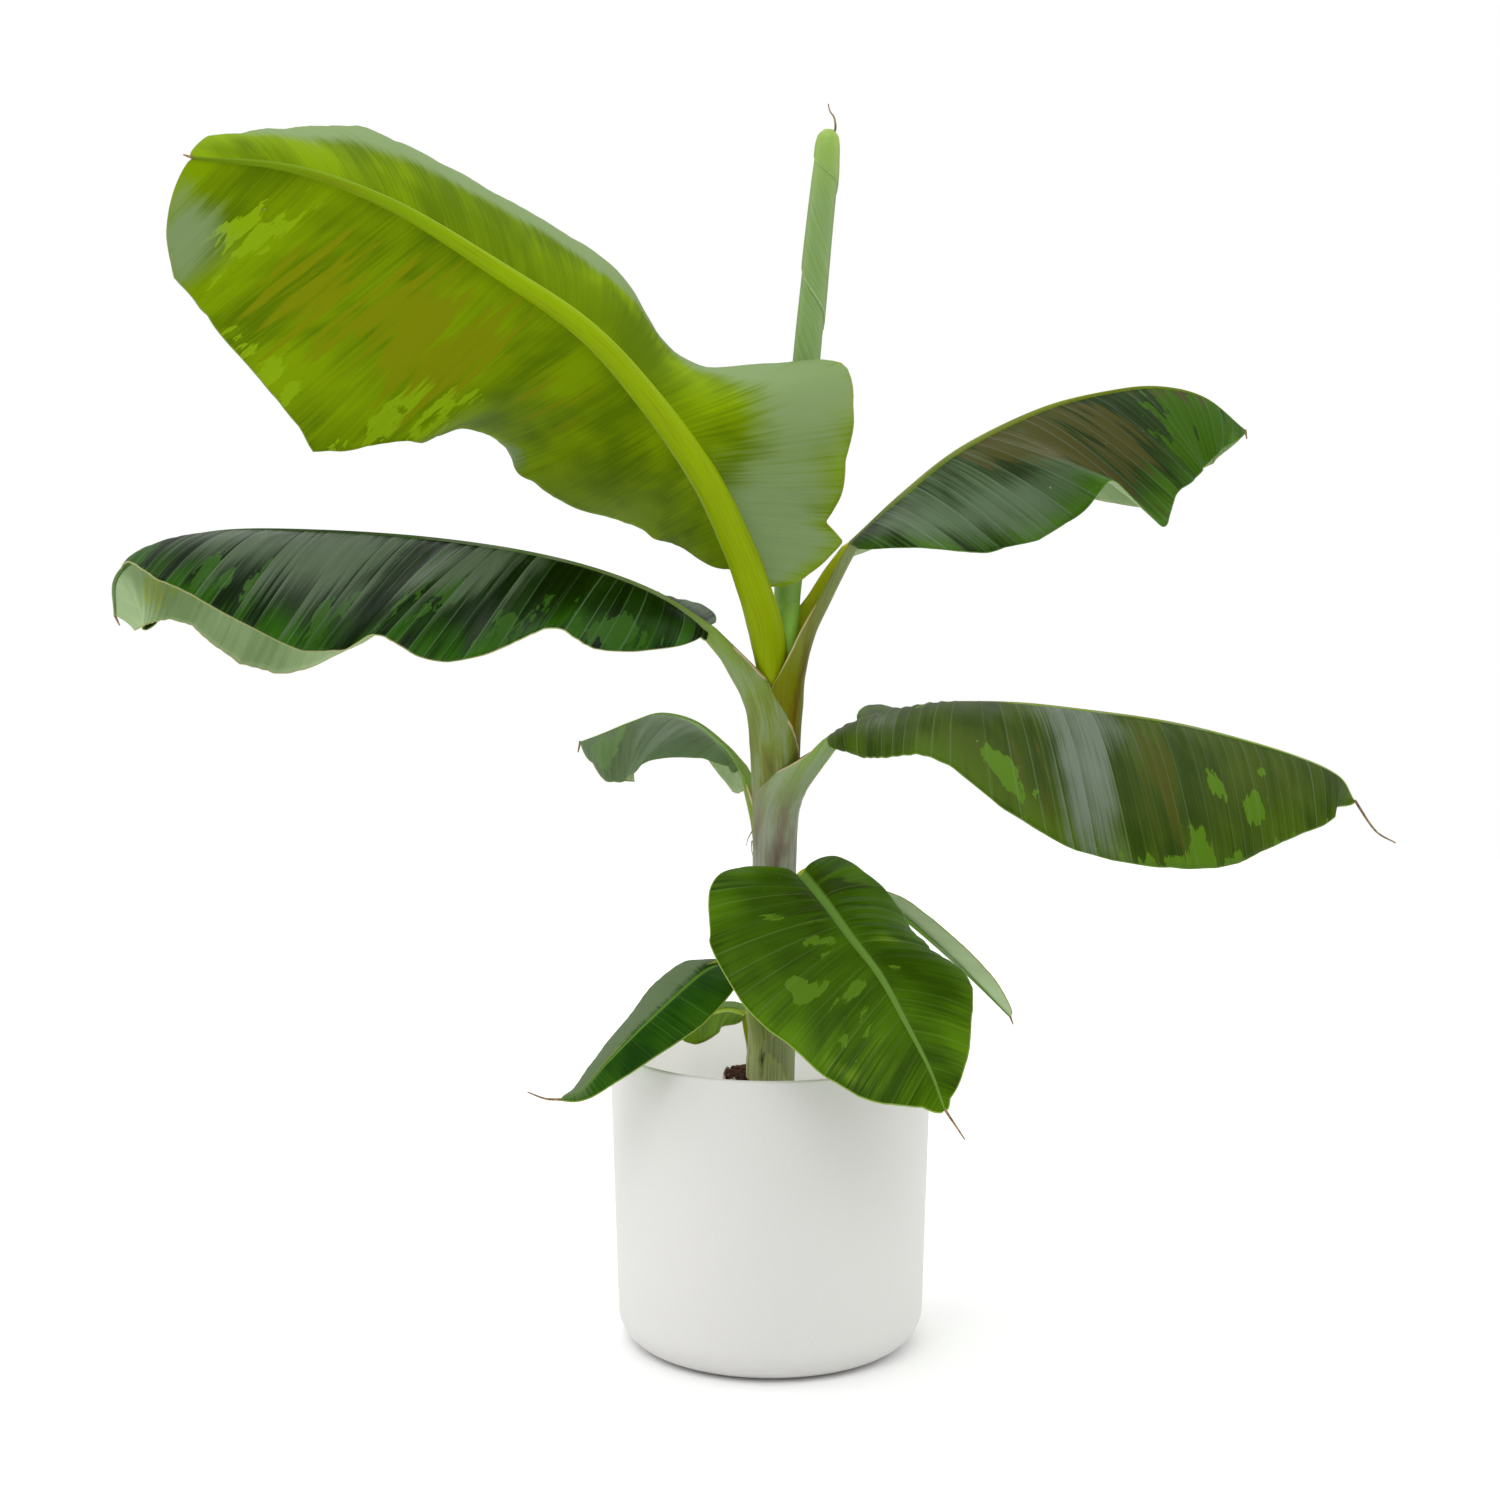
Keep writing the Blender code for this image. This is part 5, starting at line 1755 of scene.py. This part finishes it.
@dataclass
class RolledLeaf:
    """The rolled young leaf: a slim scroll whose free margin winds down it.

    Attributes:
        axis: Points along its middle.
        radii: Its radius at each.
        seam: Heights and the seam's angle there in degrees, from the front towards the right.
        step: The roll's step at its free margin, as a share of its radius.
        thread: The points of the dry thread on its tip.
        thread_radii: That thread's first and last radius.
    """

    axis: tuple = (
        (0.0060, -0.0003, 0.500), (0.0105, -0.0003, 0.533), (0.0122, 0.0, 0.548), (0.0132, 0.0055, 0.575),
        (0.0137, 0.0100, 0.600), (0.0270, 0.0180, 0.763), (0.0340, 0.0200, 0.838), (0.0408, 0.0200, 0.905),
        (0.0424, 0.0200, 0.925), (0.0430, 0.0200, 0.933), (0.0433, 0.0200, 0.937),
    )
    radii: tuple = (0.0050, 0.0062, 0.0070, 0.0095, 0.0107, 0.0106, 0.0106, 0.0102, 0.0094, 0.0078, 0.0030)
    seam: tuple = (
        (0.500, 1180), (0.640, 810), (0.725, 630), (0.794, 450), (0.834, 270), (0.896, 90), (0.916, -90),
        (0.938, -160),
    )
    step: float = 0.085
    thread: tuple = (
        (0.0450, 0.0200, 0.9300), (0.0480, 0.0200, 0.9370), (0.0472, 0.0196, 0.9450),
        (0.0440, 0.0192, 0.9500), (0.0425, 0.0190, 0.9555),
    )
    thread_radii: tuple[float, float] = (0.0011, 0.0004)

    def __post_init__(self) -> None:
        """Lay the tube that the scroll is made from."""
        self.tube = Tube.through(self.axis, self.radii, 160, self.relief)

    def past_seam(self, s: Array, angle: Array) -> Array:
        """Find how far points lie past the seam.

        Args:
            s: Shares of the length.
            angle: Angles from the front.

        Returns:
            The share of a turn past the seam.
        """
        heights = self.tube.line[:, 2]
        height = np.interp(s, np.linspace(0, 1, len(heights)), heights)
        return ((angle - np.radians(np.interp(height, *zip(*self.seam)))) / TURN) % 1.0

    def relief(self, s: Array, angle: Array) -> Array:
        """Step the radius at the seam, so that its mean stays as it is."""
        return self.step * (0.4 - ease(self.past_seam(s, angle) * 1.05))

    def surface(self, s: Array, t: Array) -> Points:
        """Add the place past the seam to the tube's own marks.

        Args:
            s: Shares of the length.
            t: Shares of the way round, from the front.

        Returns:
            The places, and their marks.
        """
        places, marks = self.tube.surface(s, t)
        seam = self.past_seam(s, t * TURN), marks["tube_place"][:, 0], places[:, 2]
        return places, {**marks, "roll_seam": np.stack(seam, axis=1)}

    def build(self) -> None:
        """Build the scroll and its thread."""
        mesh = skin("scroll", 420, 110, self.surface, closed=True)
        piece(mesh, "young_leaf_green", RollFinish().dress("rolled_young_leaf"), nodes=("rolled_leaf",))
        mesh = Tube.strand("scroll_thread", self.thread, self.thread_radii, (60, 8), 40)
        piece(mesh, "young_leaf_green", DRY_FIBRE.dress("dead_scroll_tip"))


@dataclass
class Pot:
    """The pot: a moulded shell with a thin rim and a rounded lower edge.

    Attributes:
        height: Its height.
        rim_radius: Its outer radius at the rim.
        foot_radius: Its outer radius where the rounded edge starts.
        corner: The rounded edge's radius.
        wall: Its wall's thickness.
        floor: Its floor's thickness.
        steps: Faces round it.
        corner_steps: Faces round its lower edge.
        lip_steps: Faces over its rim.
    """

    height: float = 0.240
    rim_radius: float = 0.125
    foot_radius: float = 0.1195
    corner: float = 0.028
    wall: float = 0.004
    floor: float = 0.005
    steps: int = 200
    corner_steps: int = 16
    lip_steps: int = 6

    def profile(self, wall: float, floor: float) -> list[tuple[float, float]]:
        """Trace the side from the wall down to the middle of the foot, set in by a wall.

        Args:
            wall: How far it is set in.
            floor: The height of its foot.

        Returns:
            Points as radius and height.
        """
        corner = self.corner - wall / 2
        middle, rise = self.foot_radius - wall - corner, floor + corner
        angles = [math.pi / 2 * step / self.corner_steps for step in range(self.corner_steps + 1)]
        return [*((middle + corner * math.cos(a), rise - corner * math.sin(a)) for a in angles), (0.0, floor)]

    def build(self) -> None:
        """Spin the profile and give the two sides their finishes."""
        lip = self.wall / 2
        middle, rise = self.rim_radius - lip, self.height - lip
        angles = [math.pi * step / self.lip_steps for step in range(self.lip_steps + 1)]
        rim = [(middle - lip * math.cos(a), rise + lip * math.sin(a)) for a in angles]
        profile = self.profile(self.wall, self.floor)[::-1] + rim + self.profile(0.0, 0.0)
        shell = bmesh.new()
        verts = [shell.verts.new((radius, 0.0, height)) for radius, height in profile]
        edges = [shell.edges.new(pair) for pair in zip(verts, verts[1:])]
        spin = {"axis": (0, 0, 1), "cent": (0, 0, 0), "angle": TURN, "steps": self.steps, "use_merge": True}
        bmesh.ops.spin(shell, geom=verts + edges, **spin)
        sealed(shell, fill=False)
        for face in shell.faces:
            centre = face.calc_center_median()
            inward = face.normal.x * centre.x + face.normal.y * centre.y < 0
            face.material_index = int(inward or (face.normal.z > 0.5 and centre.z < self.height / 2))
        plastic = "moulded_polypropylene"
        finishes = POT_OUTSIDE.dress(plastic), POT_INSIDE_PAINTED_LIGHT.dress(plastic + "_inside")
        piece(mesh_of("planter", shell, smooth=True), "pot_white", *finishes, nodes=("pot",))


@dataclass(frozen=True)
class Crumbs:
    """Small uneven crumbs, strewn on a round top.

    Attributes:
        count: How many there are.
        reach: Their least and greatest distance from the middle.
        sizes: Their least and greatest radius.
        power: How far the small ones outnumber the large.
        seed: The seed of their places, turns and shapes.
        centre: The middle that they lie round.
    """

    count: int
    reach: tuple[float, float]
    sizes: tuple[float, float]
    power: int
    seed: int
    centre: tuple[float, float] = (0.0, 0.0)

    def mesh(self, name: str, rest: Callable[[float, float, np.random.Generator], float]) -> Mesh:
        """Strew the crumbs.

        Args:
            name: The mesh's name.
            rest: Gives the height of a crumb's middle from its distance, its size and the source of draws.

        Returns:
            The mesh of all the crumbs.
        """
        rng = np.random.default_rng(self.seed)
        spots = []
        for _ in range(self.count):
            radius = self.reach[0] + (self.reach[1] - self.reach[0]) * math.sqrt(rng.uniform())
            angle = rng.uniform(0, TURN)
            size = self.sizes[0] + (self.sizes[1] - self.sizes[0]) * rng.uniform() ** self.power
            spots.append((ring(radius, angle, rest(radius, size, rng), self.centre), size))
        shell = bmesh.new()
        for spot, size in spots:
            turn = Matrix.Rotation(rng.uniform(0, 6.28), 4, Vector(rng.normal(size=3)))
            stretch = Matrix.Diagonal((*rng.uniform(0.6, 1.4, 3), 1.0))
            place = Matrix.Translation(Vector(spot)) @ turn @ stretch
            bmesh.ops.create_icosphere(shell, subdivisions=1, radius=size, matrix=place)
        return mesh_of(name, shell)


def lumps(places: Array, coarse: tuple[float, float], fine: tuple[float, float]) -> Array:
    """Read a lumpy noise at places.

    Args:
        places: The places.
        coarse: How many lumps there are in a metre, and their height.
        fine: The same of the smaller ones.

    Returns:
        The height at each place.
    """
    spots, grains = [Vector(place) for place in places], (coarse, fine)
    return np.array([sum(high * noise.noise(spot * count) for count, high in grains) for spot in spots])


@dataclass
class Compost:
    """The compost that fills the pot: a rough top with loose crumbs on it.

    Attributes:
        profile: The radius and height of its outline, from the middle of its top to the middle of its foot.
        stops: The share of the surface at each point of it, most of them on its top.
        bump: The height of its lumps.
        grains: How many lumps there are in a metre and the share of that height, for large and small ones.
        highest: The share of it at which lumps are cut off.
        crumbs: The crumbs on it.
    """

    profile: tuple = (
        (0.0, 0.1715), (0.040, 0.1715), (0.085, 0.1692), (0.1180, 0.1672), (0.1150, 0.034), (0.0930, 0.0055),
        (0.0, 0.0055),
    )
    stops: tuple = (0.0, 0.27, 0.58, 0.82, 0.92, 0.96, 1.0)
    bump: float = 0.0022
    grains: tuple = ((90, 0.7), (330, 0.4))
    highest: float = 0.6
    crumbs: Crumbs = Crumbs(1500, (0.021, 0.114), (0.0006, 0.0021), 2, 5)

    def surface(self, s: Array, t: Array) -> Points:
        """Place points on the compost.

        Args:
            s: Shares of the outline.
            t: Shares of the way round.

        Returns:
            The places, and no marks.
        """
        radius, height = read(np.array(self.profile), np.array(self.stops), s).T
        places = ring(radius, t * TURN, height)
        top = s < self.stops[3]
        rise = np.minimum(self.highest, lumps(places[top], *self.grains))
        places[top, 2] += self.bump * rise * (1 - s[top] ** 8)
        return places, {}

    def rest(self, radius: float, size: float, _: np.random.Generator) -> float:
        """Give the height of a crumb's middle on the top."""
        return float(np.interp(radius, *zip(*self.profile[:4]))) + size * 0.5

    def build(self) -> None:
        """Build the compost and its crumbs."""
        mesh = skin("compost", 110, 150, self.surface, closed=True)
        piece(mesh, "potting_soil", COMPOST.dress("moist_compost"), nodes=("potting_soil",))
        mesh = self.crumbs.mesh("compost_crumbs", self.rest)
        piece(mesh, "potting_soil", CRUMBS.dress("dry_compost_crumbs"))


@dataclass
class RootPlug:
    """The young plant's root plug, which stands out of the compost beside the stem in a torn paper sleeve.

    Attributes:
        centre: Its middle.
        radius: Its sleeve's radius.
        foot: The height of its foot.
        top: Its greatest height.
        profile: Rows of the share of its surface, and its body's radius and height there as shares.
        fill: How far its body fills the sleeve.
        grains: How many lumps there are in a metre and their height, for the large and the small ones.
        sunk: How far below its top the crumbs lie.
        scatter: The least and the most that a crumb is raised from there.
        crumbs: The crumbs that cover it.
        girth: The length of the sleeve's torn edge.
        short: How far below the plug's top that edge is.
        teeth: The size and seed of its large and small teeth.
        slack: Depth in radii, spacing and seed of the creases all over the sleeve, and of those at its edge.
        paper: The sleeve's thickness.
    """

    centre: tuple[float, float] = (-0.011, 0.014)
    radius: float = 0.027
    foot: float = 0.1715
    top: float = 0.2130
    profile: tuple = (
        (0.0, 0.0, 1.0), (0.45, 0.90, 0.97), (0.52, 0.97, 0.93), (0.95, 1.0, 0.0), (1.0, 0.0, 0.0),
    )
    fill: float = 0.93
    grains: tuple = ((160, 0.0016), (420, 0.0008))
    sunk: float = 0.0035
    scatter: tuple[float, float] = (-0.001, 0.0012)
    crumbs: Crumbs = Crumbs(1300, (0.0, 0.0243), (0.0006, 0.0017), 1, 9, (-0.011, 0.014))
    girth: float = 0.17
    short: float = 0.004
    teeth: tuple = ((0.0035, 61), (0.0012, 62))
    slack: tuple = ((0.02, 0.006, 63), (0.03, 0.009, 64))
    paper: float = 0.0003

    def surface(self, s: Array, t: Array) -> Points:
        """Place points on the plug's lumpy body.

        Args:
            s: Shares of the outline, from the middle of its top down to the middle of its foot.
            t: Shares of the way round.

        Returns:
            The places, and no marks.
        """
        table = np.array(self.profile)
        radius, height = read(table[:, 1:], table[:, 0], s).T * self.fill
        height = self.foot + height * (self.top - self.foot)
        places = ring(radius * self.radius, t * TURN, height, self.centre)
        rough = (s > 0) & (s < self.profile[3][0])
        lump = lumps(places[rough], *self.grains)[:, None]
        places[rough, 2:] += lump
        places[rough, :2] += (places[rough, :2] - self.centre) * lump / self.radius
        return places, {}

    def sleeve(self, s: Array, t: Array) -> Points:
        """Place points on the paper sleeve, with its torn upper edge.

        Args:
            s: Shares of its height.
            t: Shares of the way round.

        Returns:
            The places, and no marks.
        """
        run = t * self.girth
        tear = sum(size * wobble(run, size, seed) for size, seed in self.teeth)
        (deep, wide, seed), (edge_deep, edge_wide, edge_seed) = self.slack
        crease = deep * wobble(run, wide, seed) + edge_deep * s**4 * wobble(run, edge_wide, edge_seed)
        height = self.foot + s * (self.top - self.foot - self.short + tear * 0.8)
        return ring(self.radius * 0.985 * (1 + crease), t * TURN, height, self.centre), {}

    def rest(self, _: float, __: float, rng: np.random.Generator) -> float:
        """Give the height of a crumb's middle on the plug."""
        return self.top - self.sunk + rng.uniform(*self.scatter)

    def build(self) -> None:
        """Build the plug's body, its crumbs and its sleeve."""
        mesh = skin("root_plug", 60, 80, self.surface, closed=True)
        piece(mesh, "potting_soil", CRUMBS.dress("root_plug_coir"), nodes=("root_clump",))
        mesh = self.crumbs.mesh("root_plug_crumbs", self.rest)
        piece(mesh, "potting_soil", CRUMBS.dress("root_plug_coir_crumbs"))
        mesh = skin("plug_sleeve", 24, 220, self.sleeve)
        shell = bmesh.new()
        shell.from_mesh(mesh)
        bpy.data.meshes.remove(mesh)
        sealed(shell, fill=False)
        bmesh.ops.solidify(shell, geom=shell.faces[:], thickness=self.paper)
        piece(mesh_of("plug_sleeve", shell), "potting_soil", PLUG_PAPER.dress("torn_plug_paper"))


@dataclass
class Studio:
    """A plain pale floor, soft studio light and the camera.

    Attributes:
        eye: The camera's place.
        down: How far it looks down, in degrees.
        lens: Its focal length in millimetres on a sensor 36 mm wide.
        floor_radius: The floor's radius.
        surround: The strength of the light from all round.
        sky: The strength of the even light from above.
        sky_spread: How wide that light is, in degrees.
        lamps: Name, place, aim, width, height and watts of each lamp.
    """

    eye: tuple[float, float, float] = (-0.016, -2.4, 0.852)
    down: float = 9.08
    lens: float = 76.03
    floor_radius: float = 2.2
    surround: float = 0.50
    sky: float = 1.75
    sky_spread: float = 100.0
    lamps: tuple = (
        ("left", (-2.6, 0.3, 1.1), (0, 0, 0.35), 1.6, 2.2, 17),
        ("right", (2.6, 0.3, 1.1), (0, 0, 0.35), 1.6, 2.2, 17),
        ("key", (-0.7, -2.3, 3.0), (0, 0, 0.4), 1.6, 1.6, 30),
        ("back", (0.2, 2.0, 2.4), (0, 0, 0.5), 2.4, 1.2, 12),
    )

    def build(self) -> None:
        """Build the floor, the surround, the lamps and the camera."""
        scene = bpy.context.scene
        scene.view_settings.view_transform = "Standard"
        scene.world = bpy.data.worlds.new("studio_surround")
        scene.world.use_nodes = True
        tree = scene.world.node_tree
        seen = add(tree, "LightPath", out="Is Camera Ray")
        strength = add(tree, "MapRange", {0: seen, 3: self.surround, 4: 1.0})
        plug(tree.nodes["Background"], {"Strength": strength, "Color": (1.0, 1.0, 1.0, 1.0)})
        shell = bmesh.new()
        bmesh.ops.create_circle(shell, cap_ends=True, segments=128, radius=self.floor_radius)
        mesh = mesh_of("studio_floor", shell)
        paper = Coat("matt_studio_paper")
        plug(paper.shader, {"Base Color": linear("#FAFAFA"), "Roughness": 0.9, "Specular IOR Level": 0.1})
        mesh.materials.append(paper.material)
        placed("studio_floor", mesh)
        sky = bpy.data.lights.new("sky", "SUN")
        sky.energy, sky.angle = self.sky, math.radians(self.sky_spread)
        placed("sky", sky)
        for name, place, aim, width, height, watts in self.lamps:
            light = bpy.data.lights.new(name, "AREA")
            light.shape = "RECTANGLE"
            light.size, light.size_y, light.energy = width, height, watts
            lamp = placed(name, light)
            lamp.location = place
            lamp.rotation_euler = (Vector(aim) - Vector(place)).to_track_quat("-Z", "Y").to_euler()
        camera = bpy.data.cameras.new("camera")
        camera.lens, camera.sensor_width, camera.clip_end = self.lens, 36, 100
        scene.camera = placed("camera", camera)
        scene.camera.location = self.eye
        scene.camera.rotation_euler = (math.radians(90 - self.down), 0, 0)


def main() -> None:
    """Build the plant over its frame, and write how large it came out."""
    logging.basicConfig(level=logging.INFO, format="%(message)s")
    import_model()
    for part in (Studio, Pot, Compost, RootPlug, Pseudostem, RolledLeaf, Crown):
        part().build()


if __name__ == "__main__":
    main()
